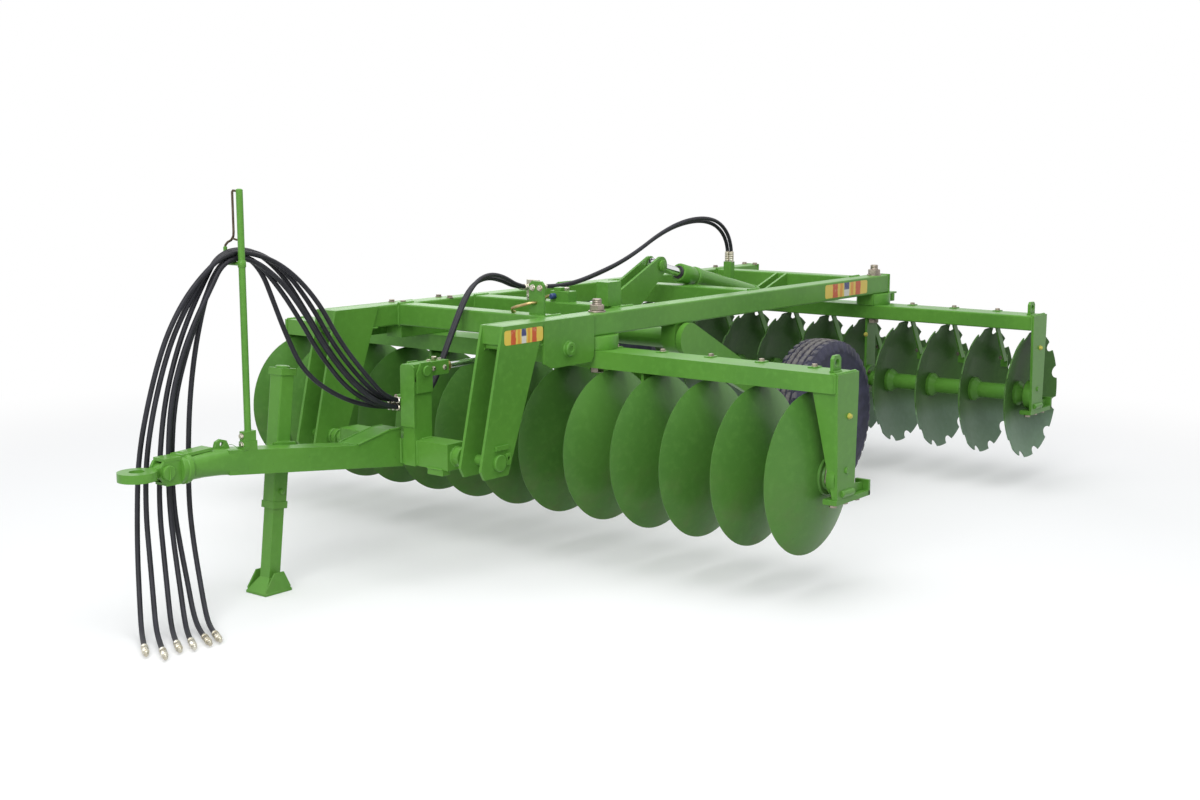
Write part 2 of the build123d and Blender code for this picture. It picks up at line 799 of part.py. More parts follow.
with BuildPart() as piston_rod:
    side_round(
        crank_x, crank_tip_z, cylinder_eye_radius, -cylinder_eye_width / 2, cylinder_eye_width / 2
    )
    round_bar(
        lift_start + lift_way * (lift_length - piston_rod_inside),
        lift_start + lift_way * (lift_length - cylinder_eye_radius + 4),
        piston_rod_radius,
    )
    side_round(
        crank_x,
        crank_tip_z,
        cylinder_pin_radius + cylinder_eye_play,
        -cylinder_eye_width / 2,
        cylinder_eye_width / 2,
        Mode.SUBTRACT,
    )
finish(piston_rod, "lift_rod")

# Tow frame: cross tube, hinge pins, drawbar and the hood that stiffens its root
box_end_x = front_x + drawbar_nose_x
nose_x = front_x + nose_tube_end_x
half_tube = tow_tube_size / 2
drawbar_tail_x = tow_x + half_tube - 10
drawbar_slope = (drawbar_nose_z - drawbar_tail_z) / (box_end_x - drawbar_tail_x)


def drawbar_top(x):
    """Height of the drawbar's top face at a place along it."""
    return drawbar_tail_z + (x - drawbar_tail_x) * drawbar_slope + drawbar_height / 2


with BuildPart() as tow_frame:
    block(
        tow_x - half_tube,
        tow_x + half_tube,
        -tow_tube_half,
        tow_tube_half,
        tow_hinge_z - half_tube,
        tow_hinge_z + half_tube,
    )
    pin_end = beam_y + half_width + bracket_plate + 6
    side_round(tow_x, tow_hinge_z, tow_pin_radius, -pin_end, pin_end)
    drawbar_side = (
        (drawbar_tail_x, drawbar_top(drawbar_tail_x)),
        (box_end_x, drawbar_top(box_end_x)),
        (box_end_x, drawbar_top(box_end_x) - drawbar_height),
        (drawbar_tail_x, drawbar_top(drawbar_tail_x) - drawbar_height),
    )
    side_plate(drawbar_side, -drawbar_width / 2, drawbar_width / 2)
    with BuildSketch(Plane(origin=(box_end_x, 0, hitch_z), x_dir=(0, 1, 0), z_dir=(1, 0, 0))):
        Circle(nose_tube_radius)
    extrude(amount=nose_x - box_end_x)
    hood_front = tow_x + half_tube + hood_length
    hood_rear = tow_x + half_tube
    hood = (
        (hood_rear, tow_hinge_z + half_tube + hood_rise),
        (hood_rear + hood_flat, tow_hinge_z + half_tube + hood_rise),
        (hood_front, drawbar_top(hood_front)),
        (hood_front, drawbar_tail_z),
        (hood_rear, drawbar_tail_z),
    )
    side_plate(hood, -drawbar_width / 2, drawbar_width / 2)
finish(tow_frame, "drawbar")

with BuildPart() as mast:
    half = mast_width / 2
    mast_low, mast_high = mast_y - half, mast_y + half
    rear, front = front_x + mast_rear_x, front_x + mast_front_x
    block(rear, front, mast_low, mast_high, tow_hinge_z + half_tube, mast_top_z)
    block(front, front + mast_plate, mast_low, mast_high, tow_hinge_z - half_tube, mast_top_z)
    ear = (
        (rear, mast_ear_bottom_z),
        (front, mast_ear_bottom_z),
        (front, mast_top_z + 30),
        (front - 22, mast_ear_top_z),
        (rear + 10, mast_ear_top_z),
        (rear, mast_ear_top_z - 20),
    )
    side_plate(ear, mast_high, mast_high + mast_ear_thickness)
    side_plate(ear, mast_low, mast_low - mast_ear_thickness)
    side_round(
        front_x + leveller_mast_x,
        leveller_z,
        leveller_pin_radius,
        mast_low - mast_ear_thickness - 6,
        mast_high + mast_ear_thickness + 6,
    )
    manifold_rear = front_x + manifold_rear_x
    manifold_front = manifold_rear + manifold_depth
    block(
        manifold_rear,
        manifold_front,
        mast_low,
        mast_low - manifold_width,
        manifold_bottom_z,
        manifold_top_z,
    )
    for route in supply_routes:
        fitting(route, route[0][0] - manifold_front + fitting_root)
    for route in link_routes:
        level = (route[-1][1], route[-1][2])
        round_bar((manifold_rear - manifold_stub, *level), (manifold_rear, *level), fitting_radius)
finish(mast, "mast")

# Clevis and eye
with BuildPart() as clevis:
    with BuildSketch(Plane(origin=(nose_x, 0, hitch_z), x_dir=(0, 1, 0), z_dir=(1, 0, 0))):
        Circle(collar_radius)
    extrude(amount=collar_length)
    ear_y = clevis_gap / 2
    for hand in (1, -1):
        outline = (
            (nose_x + collar_length, hitch_z - clevis_height / 2),
            (front_x + clevis_end_x - 12, hitch_z - clevis_height / 2),
            (front_x + clevis_end_x, hitch_z - clevis_height / 2 + 18),
            (front_x + clevis_end_x, hitch_z + clevis_height / 2 - 18),
            (front_x + clevis_end_x - 12, hitch_z + clevis_height / 2),
            (nose_x + collar_length, hitch_z + clevis_height / 2),
        )
        side_plate(outline, hand * ear_y, hand * (ear_y + clevis_plate))
    side_round(
        front_x + clevis_pin_x,
        hitch_z,
        clevis_pin_radius,
        -ear_y - clevis_plate - 8,
        ear_y + clevis_plate + 8,
    )
finish(clevis, "hitch_clevis")

with BuildPart() as eye:
    tongue = ear_y - face_gap
    with BuildSketch(Plane.XY.offset(hitch_z - eye_thickness / 2)):
        with Locations((front_x + eye_x, 0)):
            Circle(eye_radius)
        Polygon(
            (front_x + clevis_pin_x, -tongue),
            (front_x + eye_x, -tongue),
            (front_x + eye_x, tongue),
            (front_x + clevis_pin_x, tongue),
            align=None,
        )
        with Locations((front_x + eye_x, 0)):
            Circle(eye_hole_radius, mode=Mode.SUBTRACT)
    extrude(amount=eye_thickness)
    side_round(front_x + clevis_pin_x, hitch_z, clevis_pin_radius + 12, -tongue, tongue)
    side_round(
        front_x + clevis_pin_x,
        hitch_z,
        clevis_pin_radius + fit_gap,
        -tongue,
        tongue,
        Mode.SUBTRACT,
    )
finish(eye, "hitch_eye")

# Jack: outer tube square to the drawbar, on its right side, and the leg that slides in it
post_x = front_x + jack_x
post_y = -(drawbar_width / 2 + 8 + jack_tube_size / 2)
half_post = jack_tube_size / 2
half_bore = half_post - jack_tube_wall
half_leg = half_bore - face_gap
jack_lean = math.atan(drawbar_slope)
jack_up = Vector(-math.sin(jack_lean), 0, math.cos(jack_lean))
jack_across = Vector(math.cos(jack_lean), 0, math.sin(jack_lean))
jack_middle = Vector(post_x, post_y, drawbar_top(post_x) - drawbar_height / 2)


def jack_plane(along):
    """Sketch plane across the jack, at a distance above the middle of the drawbar."""
    return Plane(origin=jack_middle + jack_up * along, x_dir=jack_across, z_dir=jack_up)


with BuildPart() as jack_tube:
    with BuildSketch(jack_plane(-jack_tube_below)):
        Rectangle(jack_tube_size, jack_tube_size)
    extrude(amount=jack_tube_below + jack_tube_above)
    with BuildSketch(jack_plane(-jack_tube_below)):
        Rectangle(2 * half_bore, 2 * half_bore)
    extrude(amount=jack_tube_below + jack_tube_above - jack_tube_wall, mode=Mode.SUBTRACT)
    bracket_depth = -drawbar_width / 2 - (post_y + half_post)
    with BuildSketch(jack_plane(-jack_bracket_half)):
        with Locations((0, half_post + bracket_depth / 2)):
            Rectangle(jack_tube_size + 2 * jack_bracket_flange, bracket_depth)
    extrude(amount=2 * jack_bracket_half)
finish(jack_tube, "jack_tube")

leg_bottom = -(jack_middle.Z - jack_leg_bottom_z) / math.cos(jack_lean)
foot_x = post_x + jack_middle.Z * math.tan(jack_lean)
with BuildPart() as jack_leg:
    with BuildSketch(jack_plane(leg_bottom)):
        Rectangle(2 * half_leg, 2 * half_leg)
    extrude(amount=jack_leg_above - leg_bottom)
    with BuildSketch(Plane(origin=(foot_x, post_y, jack_foot_base))):
        Rectangle(jack_foot_length, jack_foot_width)
    with BuildSketch(jack_plane(leg_bottom)):
        Rectangle(2 * half_leg, 2 * half_leg)
    loft()
    with BuildSketch(Plane(origin=(foot_x, post_y, 0))):
        Rectangle(jack_foot_length, jack_foot_width)
    extrude(amount=jack_foot_base)
finish(jack_leg, "jack_leg")

# Levelling cylinder: its box on the mast, its rod to the front cross tube
mast_pin_x = front_x + leveller_mast_x
box_rear = front_x + leveller_box_rear_x
half_box = leveller_box_size / 2
with BuildPart() as leveller_box:
    block(
        box_rear,
        front_x + leveller_box_front_x,
        mast_y - half_box,
        mast_y + half_box,
        leveller_z - half_box,
        leveller_z + half_box,
    )
    round_bar(
        (box_rear - 1, mast_y, leveller_z),
        (box_rear + leveller_rod_inside + leveller_bore_spare, mast_y, leveller_z),
        leveller_rod_radius + fit_gap,
        Mode.SUBTRACT,
    )
    side_round(
        mast_pin_x,
        leveller_z,
        leveller_pin_radius + fit_gap,
        mast_y - half_box,
        mast_y + half_box,
        Mode.SUBTRACT,
    )
finish(leveller_box, "leveller_box")

with BuildPart() as leveller_rod:
    side_round(frame_pin_x, leveller_z, leveller_eye_radius, mast_y - half_eye, mast_y + half_eye)
    round_bar(
        (frame_pin_x + leveller_eye_radius - 6, mast_y, leveller_z),
        (box_rear + leveller_rod_inside, mast_y, leveller_z),
        leveller_rod_radius,
    )
    side_round(
        frame_pin_x,
        leveller_z,
        leveller_pin_radius + leveller_eye_play,
        mast_y - half_eye,
        mast_y + half_eye,
        Mode.SUBTRACT,
    )
finish(leveller_rod, "leveller_rod")

# Hose stand
post = (front_x + stand_x, stand_y)
with BuildPart() as stand:
    base_rear, base_front = post[0] - stand_base / 2, post[0] + stand_base / 2
    base_z = drawbar_top(post[0]) + stand_base_height
    base = (
        (base_rear, drawbar_top(base_rear)),
        (base_front, drawbar_top(base_front)),
        (base_front, base_z),
        (base_rear, base_z),
    )
    side_plate(base, drawbar_width / 2 - stand_base_width, drawbar_width / 2)
    round_bar((*post, base_z - 5), (*post, stand_top_z), stand_radius)
    round_bar((*post, hook_z), (post[0], post[1] - hook_reach, hook_z), hook_radius)
    round_bar(
        (post[0], post[1] - hook_reach, hook_z),
        (post[0], post[1] - hook_reach, hook_z + hook_tip),
        hook_radius,
    )
finish(stand, "hose_stand")

# Bulkhead on the second cross tube: the lift hoses meet the link hoses there
bulkhead_x = front_x + cross_tube_offsets[1] + half_width
with BuildPart() as bulkhead:
    block(
        bulkhead_x - bulkhead_plate,
        bulkhead_x,
        bulkhead_inner_y,
        bulkhead_outer_y,
        frame_top_z,
        frame_top_z + bulkhead_height,
    )
    for route in link_routes:
        fitting(route, route[0][0] - bulkhead_x + fitting_root)
    for route in lift_routes:
        fitting(route, bulkhead_x - bulkhead_plate - route[0][0] + fitting_root)
finish(bulkhead, "hose_bulkhead")

# Hoses, and the couplings that lie on the floor at the supply hoses' ends
for number, route in enumerate(supply_routes, 1):
    hose(route, f"supply_hose_{number}")
for number, route in enumerate(link_routes, 1):
    hose(route, f"link_hose_{number}")
for number, route in enumerate(lift_routes, 1):
    hose(route, f"lift_hose_{number}")

with BuildPart() as couplings:
    for route in supply_routes:
        tip = Vector(*route[-1])
        way = (tip - Vector(*route[-2])).normalized()
        round_bar(tip, tip + way * coupling_length, coupling_radius)
        round_bar(
            tip + way * coupling_length,
            tip + way * (coupling_length + coupling_nose_length),
            coupling_nose_radius,
        )
finish(couplings, "couplings")
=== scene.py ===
import json
import math

import bmesh
import bpy
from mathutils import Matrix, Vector


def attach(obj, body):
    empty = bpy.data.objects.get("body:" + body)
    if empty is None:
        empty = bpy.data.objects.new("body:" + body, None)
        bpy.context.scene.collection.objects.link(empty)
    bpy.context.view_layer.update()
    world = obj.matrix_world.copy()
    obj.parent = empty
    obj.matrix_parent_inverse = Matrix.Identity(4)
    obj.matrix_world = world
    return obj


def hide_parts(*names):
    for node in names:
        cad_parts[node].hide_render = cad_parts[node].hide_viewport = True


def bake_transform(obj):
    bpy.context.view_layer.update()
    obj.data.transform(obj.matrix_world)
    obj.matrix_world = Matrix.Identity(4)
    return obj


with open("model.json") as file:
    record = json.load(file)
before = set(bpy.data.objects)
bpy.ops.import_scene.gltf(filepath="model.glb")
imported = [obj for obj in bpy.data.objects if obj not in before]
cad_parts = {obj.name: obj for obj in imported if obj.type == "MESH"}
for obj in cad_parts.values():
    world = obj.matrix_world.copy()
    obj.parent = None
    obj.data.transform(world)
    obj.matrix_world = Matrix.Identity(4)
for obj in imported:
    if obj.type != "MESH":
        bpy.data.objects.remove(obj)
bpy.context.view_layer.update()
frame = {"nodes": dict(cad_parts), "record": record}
scene = bpy.context.scene


def add_object(name, data):
    """A new object of the scene around its data."""
    thing = bpy.data.objects.new(name, data)
    scene.collection.objects.link(thing)
    return thing


def add_aimed(name, data, place, way):
    """A camera or lamp that stands at a place and looks along a way."""
    thing = add_object(name, data)
    thing.location = place
    thing.rotation_mode = "QUATERNION"
    thing.rotation_quaternion = way.to_track_quat("-Z", "Y")
    return thing


# Camera, solved from the disc rims and the gang spacing

CAMERA_PLACE = Vector((5.326, 4.429, 1.639))
CAMERA_YAW = -2.4724
CAMERA_DIP = 0.1598
FOCAL_PIXELS = 1606.0
PHOTO_WIDTH = 1200.0


def set_camera():
    level = math.cos(CAMERA_DIP)
    way = Vector((math.cos(CAMERA_YAW) * level, math.sin(CAMERA_YAW) * level, -math.sin(CAMERA_DIP)))
    lens = bpy.data.cameras.new("camera")
    lens.sensor_width = 36.0
    lens.lens = lens.sensor_width * FOCAL_PIXELS / PHOTO_WIDTH
    lens.clip_end = 200.0
    scene.camera = add_aimed("camera", lens, CAMERA_PLACE, way)


set_camera()

# Hose routes: the centre lines, in metres

HOSE_RADIUS = 0.009
SUPPLY_ROUTES = (
    (
        (1.000, 0.043, 0.650), (1.078, 0.040, 0.664), (1.175, 0.035, 0.757), (1.300, 0.021, 0.905),
        (1.400, 0.015, 1.070), (1.535, 0.007, 1.198), (1.690, 0.010, 1.259), (1.810, 0.010, 1.259),
        (1.902, -0.006, 1.182), (1.966, -0.035, 1.090), (2.022, -0.065, 0.960), (2.070, -0.092, 0.775),
        (2.104, -0.116, 0.580), (2.122, -0.112, 0.390), (2.142, -0.092, 0.245), (2.172, -0.050, 0.125),
        (2.212, 0.008, 0.040), (2.255, 0.075, 0.013), (2.296, 0.140, 0.013),
    ),
    (
        (1.000, 0.020, 0.650), (1.082, 0.015, 0.662), (1.188, 0.007, 0.750), (1.312, -0.004, 0.895),
        (1.410, -0.009, 1.052), (1.528, -0.012, 1.188), (1.664, -0.010, 1.265), (1.806, -0.010, 1.262),
        (1.880, -0.024, 1.172), (1.940, -0.046, 1.075), (1.998, -0.068, 0.945), (2.054, -0.084, 0.757),
        (2.090, -0.094, 0.570), (2.104, -0.088, 0.390), (2.118, -0.058, 0.250), (2.146, -0.010, 0.130),
        (2.188, 0.055, 0.042), (2.234, 0.135, 0.013), (2.280, 0.214, 0.013),
    ),
    (
        (1.000, -0.003, 0.650), (1.086, -0.008, 0.660), (1.203, -0.020, 0.742), (1.325, -0.029, 0.888),
        (1.422, -0.031, 1.035), (1.522, -0.032, 1.172), (1.652, -0.030, 1.268), (1.800, -0.030, 1.264),
        (1.868, -0.040, 1.152), (1.916, -0.054, 1.055), (1.966, -0.068, 0.930), (2.012, -0.082, 0.765),
        (2.036, -0.092, 0.570), (2.050, -0.086, 0.390), (2.064, -0.054, 0.250), (2.090, -0.006, 0.130),
        (2.128, 0.056, 0.042), (2.168, 0.124, 0.013), (2.206, 0.190, 0.013),
    ),
    (
        (1.000, 0.043, 0.625), (1.085, 0.039, 0.634), (1.225, 0.024, 0.722), (1.362, 0.009, 0.882),
        (1.458, 0.009, 1.028), (1.560, 0.009, 1.150), (1.692, 0.010, 1.239), (1.812, 0.010, 1.239),
        (1.874, 0.003, 1.133), (1.918, -0.018, 1.040), (1.960, -0.042, 0.925), (2.002, -0.062, 0.765),
        (2.018, -0.070, 0.570), (2.024, -0.064, 0.390), (2.034, -0.032, 0.255), (2.054, 0.016, 0.135),
        (2.086, 0.075, 0.045), (2.124, 0.140, 0.013), (2.160, 0.204, 0.013),
    ),
    (
        (1.000, 0.020, 0.625), (1.088, 0.015, 0.632), (1.240, -0.004, 0.712), (1.372, -0.015, 0.868),
        (1.464, -0.012, 1.003), (1.555, -0.012, 1.125), (1.672, -0.010, 1.242), (1.780, -0.010, 1.242),
        (1.844, -0.015, 1.174), (1.888, -0.034, 1.062), (1.932, -0.060, 0.925), (1.974, -0.078, 0.763),
        (1.990, -0.088, 0.570), (1.992, -0.084, 0.390), (1.996, -0.050, 0.255), (2.010, 0.000, 0.138),
        (2.038, 0.062, 0.046), (2.072, 0.135, 0.013), (2.106, 0.206, 0.013),
    ),
    (
        (1.000, -0.003, 0.625), (1.095, -0.006, 0.630), (1.270, -0.022, 0.688), (1.436, -0.026, 0.800),
        (1.516, -0.025, 0.945), (1.572, -0.030, 1.085), (1.612, -0.031, 1.179), (1.680, -0.030, 1.245),
        (1.764, -0.030, 1.245), (1.830, -0.034, 1.180), (1.866, -0.046, 1.070), (1.896, -0.060, 0.925),
        (1.915, -0.074, 0.755), (1.926, -0.080, 0.565), (1.932, -0.078, 0.390), (1.940, -0.050, 0.255),
        (1.960, 0.002, 0.138), (1.990, 0.064, 0.046), (2.028, 0.135, 0.013), (2.062, 0.204, 0.013),
    ),
)
LINK_ROUTES = (
    (
        (0.140, -0.056, 1.022), (0.216, -0.056, 1.034), (0.302, -0.055, 1.078), (0.402, -0.043, 1.098),
        (0.502, -0.024, 1.080), (0.586, -0.005, 1.022), (0.658, 0.010, 0.934), (0.728, 0.023, 0.838),
        (0.788, 0.030, 0.745), (0.836, 0.034, 0.678), (0.910, 0.034, 0.645),
    ),
    (
        (0.140, -0.080, 1.022), (0.214, -0.080, 1.030), (0.300, -0.079, 1.064), (0.398, -0.068, 1.081),
        (0.494, -0.050, 1.065), (0.576, -0.031, 1.012), (0.646, -0.016, 0.926), (0.712, -0.004, 0.832),
        (0.772, 0.005, 0.741), (0.828, 0.009, 0.672), (0.910, 0.010, 0.645),
    ),
)
LIFT_ROUTES = (
    (
        (0.070, -0.056, 1.022), (-0.050, -0.056, 1.014), (-0.190, -0.056, 1.026), (-0.340, -0.056, 1.056),
        (-0.500, -0.056, 1.094), (-0.650, -0.056, 1.147), (-0.785, -0.056, 1.204), (-0.920, -0.056, 1.246),
        (-1.050, -0.056, 1.268), (-1.180, -0.056, 1.270), (-1.290, -0.056, 1.246), (-1.368, -0.056, 1.190),
        (-1.404, -0.056, 1.118),
    ),
    (
        (0.070, -0.078, 1.022), (-0.046, -0.078, 1.010), (-0.190, -0.078, 1.016), (-0.345, -0.078, 1.044),
        (-0.505, -0.078, 1.082), (-0.655, -0.078, 1.133), (-0.790, -0.078, 1.190), (-0.922, -0.078, 1.231),
        (-1.050, -0.078, 1.252), (-1.176, -0.078, 1.255), (-1.284, -0.078, 1.234), (-1.364, -0.078, 1.184),
        (-1.403, -0.078, 1.118),
    ),
)
SUPPLY_LENGTHS = (2.571, 2.584, 2.528, 2.487, 2.487, 2.500)
LINK_LENGTHS = (1.021, 1.006)
LIFT_LENGTHS = (1.606, 1.593)


def route_curve(name, route, radius):
    """A smooth curve on a route's points."""
    curve = bpy.data.curves.new(name, "CURVE")
    curve.dimensions = "3D"
    curve.bevel_depth = radius
    curve.bevel_resolution = 5
    curve.resolution_u = 10
    curve.use_fill_caps = radius > 0
    spline = curve.splines.new("NURBS")
    spline.points.add(len(route) - 1)
    for point, place in zip(spline.points, route):
        point.co = (*place, 1.0)
    spline.order_u = 3
    spline.use_endpoint_u = True
    return add_object(name, curve)


def route_line(route):
    """Points along the smooth curve of a route."""
    curve = route_curve("route", route, 0.0)
    bpy.context.view_layer.update()
    mesh = bpy.data.meshes.new_from_object(curve)
    line = [vertex.co.copy() for vertex in mesh.vertices]
    data = curve.data
    bpy.data.objects.remove(curve)
    bpy.data.curves.remove(data)
    bpy.data.meshes.remove(mesh)
    return line


# Places that the pieces share, in metres; the left side has a positive y and the front a positive x

FRONT_X = 0.315
REAR_X = -1.955
AXLE_Z = 0.435
GANG_TOP = 0.820
GANG_BOTTOM = 0.750
GANG_HALF = 0.075
BEAM_Y = 0.450
BEAM_HALF = 0.045
BEAM_SIDE = 0.495
FRAME_TOP = 0.965
FRAME_MIDDLE = 0.920
FRAME_BOTTOM = 0.875
HUB_STEP = 0.230
FIRST_HUB_Y = 1.520
DISC_COUNT = 13
DISC_THICK = 0.006
LONG_Y = 1.600
SHORT_Y = 1.348
TOW_X = 0.975
TOW_Z = 0.460
SHAFT_X = -0.235
SHAFT_Z = 0.805
WHEEL_X = -1.145
WHEEL_Z = 0.365
WHEEL_Y = 0.625
HITCH_X = 2.095
NOSE_Z = 0.545
STAND_X = 1.755
STAND_Y = 0.034
LEVEL_Y = 0.105
LEVEL_Z = 0.775
MANIFOLD_REAR = 0.944
PORT_X = -1.404
LIFT_START_X = -1.575
LIFT_START_Z = 0.862
BULKHEAD_FRONT = 0.110
BULKHEAD_REAR = 0.098
GANGS = (("front", FRONT_X, 1), ("rear", REAR_X, -1))
SIDES = (("left", 1), ("right", -1))


def hub_y(index, hand):
    """Where one disc's hub sits along its gang, from the long end."""
    return hand * (FIRST_HUB_Y - HUB_STEP * index)


# Shader signals: sockets that take part in sums


class Signal:
    """An output socket of a material's nodes."""

    def __init__(self, tree, socket=None):
        self.tree = tree
        self.socket = socket

    def make(self, kind, settings=None, inputs=None, output=0):
        """Any node, from its settings and the values or links of its sockets."""
        node = self.tree.nodes.new(kind)
        for name, value in (settings or {}).items():
            setattr(node, name, value)
        for name, value in (inputs or {}).items():
            if isinstance(value, Signal):
                self.tree.links.new(value.socket, node.inputs[name])
            else:
                node.inputs[name].default_value = value
        return Signal(self.tree, node.outputs[output])

    def sum(self, operation, first, second, clamp=False):
        settings = {"operation": operation, "use_clamp": clamp}
        return self.make("ShaderNodeMath", settings, {0: first, 1: second})

    def __add__(self, other):
        return self.sum("ADD", self, other)

    def __radd__(self, other):
        return self.sum("ADD", other, self)

    def __sub__(self, other):
        return self.sum("SUBTRACT", self, other)

    def __rsub__(self, other):
        return self.sum("SUBTRACT", other, self)

    def __mul__(self, other):
        return self.sum("MULTIPLY", self, other)

    def __rmul__(self, other):
        return self.sum("MULTIPLY", other, self)

    def over(self, low, high):
        """0 below low, 1 above high and smooth between them."""
        settings = {"interpolation_type": "SMOOTHSTEP"}
        return self.make("ShaderNodeMapRange", settings, {"Value": self, "From Min": low, "From Max": high})

    def noise(self, scale, detail=3.0, rough=0.5):
        """Cloudy noise on a place, from 0 to 1."""
        inputs = {"Vector": self, "Scale": scale, "Detail": detail, "Roughness": rough}
        return self.make("ShaderNodeTexNoise", {}, inputs)

    def stretched(self, scale):
        """A place with its axes scaled."""
        return self.make("ShaderNodeVectorMath", {"operation": "MULTIPLY"}, {0: self, 1: scale})

    def axis(self, number):
        """One of the three numbers of a place."""
        return self.make("ShaderNodeSeparateXYZ", {}, {0: self}, number)

    def length(self):
        """The length of a vector."""
        return self.make("ShaderNodeVectorMath", {"operation": "LENGTH"}, {0: self}, 1)

    def tint(self, first, second):
        """The first colour where this is 0, the second where it is 1."""
        sides = [side if isinstance(side, Signal) else (*side, 1.0) for side in (first, second)]
        return self.make("ShaderNodeMix", {"data_type": "RGBA"}, {0: self, 6: sides[0], 7: sides[1]}, 2)

    def bump(self, strength, distance):
        """A normal from a height."""
        return self.make("ShaderNodeBump", {}, {"Height": self, "Strength": strength, "Distance": distance})


def new_finish(name):
    """A material, its main shader and the place signal that its patterns start from."""
    material = bpy.data.materials.new(name)
    material.use_nodes = True
    tree = material.node_tree
    place = Signal(tree).make("ShaderNodeTexCoord", {}, {}, "Object")
    return material, tree.nodes["Principled BSDF"], place


def feed(shader, **signals):
    """Links signals to the main shader's sockets; plain numbers are set on the sockets."""
    for name, value in signals.items():
        socket = shader.inputs[name.replace("_", " ")]
        if isinstance(value, Signal):
            value.tree.links.new(value.socket, socket)
        else:
            socket.default_value = value


def sprayed_paint(name, colour, shade, dust=0.25, low=0.0, gloss=0.30, bloom=0.0):
    """Glossy sprayed enamel on steel, with orange peel, thin runs and a little road dust low down; bloom
    paints a pale bluish sky light and reflection on the lower part.
    """
    material, shader, place = new_finish(name)
    cloud = place.noise(2.2, 4.0)
    fine = place.noise(38.0, 3.0)
    peel = place.noise(260.0, 2.0)
    runs = place.stretched((26.0, 26.0, 5.0)).noise(1.0, 3.0)
    body = cloud.over(0.30, 0.70).tint(shade, colour)
    lighter = tuple(min(1.0, c * 1.12 + 0.01) for c in colour)
    body = (fine.over(0.45, 0.75) * 0.35).tint(body, lighter)
    height = place.axis(2)
    dirt = (1.0 - height.over(low, low + 0.55)) * place.noise(9.0, 5.0, 0.65).over(0.42, 0.72) * dust
    body = dirt.tint(body, (0.20, 0.17, 0.11))
    # Painted light: bloom sets how strongly the part below about 0.3 m is tinted pale bluish, standing in
    # for sky light and its reflection on the rear discs' lower faces.
    if bloom:
        painted_sky_light = (1.0 - height.over(0.27, 0.38)) * (0.75 + fine * 0.4) * bloom
        body = painted_sky_light.tint(body, (0.30, 0.40, 0.34))
    chips = place.noise(95.0, 2.0, 0.6).over(0.735, 0.76) * 0.6
    relief = peel * 0.35 + runs * 0.5 + fine * 0.3
    feed(
        shader,
        Base_Color=chips.tint(body, (0.05, 0.06, 0.04)),
        Roughness=gloss + fine * 0.10 + dirt * 0.5,
        Normal=relief.bump(0.16, 0.002),
        Specular_IOR_Level=0.22,
        Coat_Weight=0.10,
        Coat_Roughness=0.16,
    )
    return material


def seal_rubber(name, colour, pale):
    """Black rubber with a dusty bloom."""
    material, shader, place = new_finish(name)
    cloud = place.noise(60.0, 5.0, 0.6)
    feed(
        shader,
        Base_Color=cloud.over(0.35, 0.72).tint(colour, pale),
        Roughness=0.42 + cloud * 0.30,
        Normal=place.noise(600.0, 3.0, 0.6).bump(0.2, 0.001),
    )
    return material


def tread_rubber(name, axle):
    """Tyre rubber: bluish black walls with a faint bloom, and a paler crown of dust with a painted highlight
    on the rib tops.
    """
    material, shader, place = new_finish(name)
    spoke = place.make("ShaderNodeVectorMath", {"operation": "SUBTRACT"}, {0: place, 1: axle})
    radius = spoke.stretched((1.0, 0.0, 1.0)).length()
    cloud = place.noise(22.0, 5.0, 0.6)
    wall = cloud.over(0.35, 0.72).tint((0.022, 0.022, 0.042), (0.044, 0.043, 0.080))
    # Dust and painted highlight: the rib tops are tinted pale to stand in for both.
    dust = radius.over(0.355, 0.362) * place.noise(34.0, 5.0, 0.65).over(0.26, 0.60) * 0.85
    feed(
        shader,
        Base_Color=dust.tint(wall, (0.190, 0.175, 0.165)),
        Roughness=0.44 + cloud * 0.25 + dust * 0.2,
        Normal=place.noise(240.0, 3.0, 0.6).bump(0.35, 0.001),
    )
    return material


def braided_hose(name):
    """Wrapped hydraulic hose: fine cloth impression and a faint bluish sheen."""
    material, shader, place = new_finish(name)
    cloud = place.noise(14.0, 4.0)
    settings = {"wave_type": "BANDS", "bands_direction": "DIAGONAL"}
    inputs = {"Vector": place, "Scale": 160.0, "Distortion": 2.0, "Detail": 1.0}
    wave = place.make("ShaderNodeTexWave", settings, inputs, 1)
    feed(
        shader,
        Base_Color=cloud.over(0.3, 0.7).tint((0.010, 0.010, 0.014), (0.022, 0.022, 0.030)),
        Roughness=0.42 + cloud * 0.2,
        Specular_IOR_Level=0.35,
        Normal=(wave * 0.6 + place.noise(500.0) * 0.4).bump(0.20, 0.0006),
    )
    return material


def bare_metal(name, colour, shade, rough, streak=0.12):
    """Plated or turned steel with fine streaks and stains."""
    material, shader, place = new_finish(name)
    stain = place.noise(24.0, 4.0, 0.6)
    streaks = place.stretched((40.0, 400.0, 40.0)).noise(1.0, 4.0)
    feed(
        shader,
        Base_Color=stain.over(0.35, 0.7).tint(colour, shade),
        Metallic=1.0,
        Roughness=rough + streaks * streak + stain * 0.08,
        Normal=streaks.bump(0.08, 0.0005),
    )
    return material


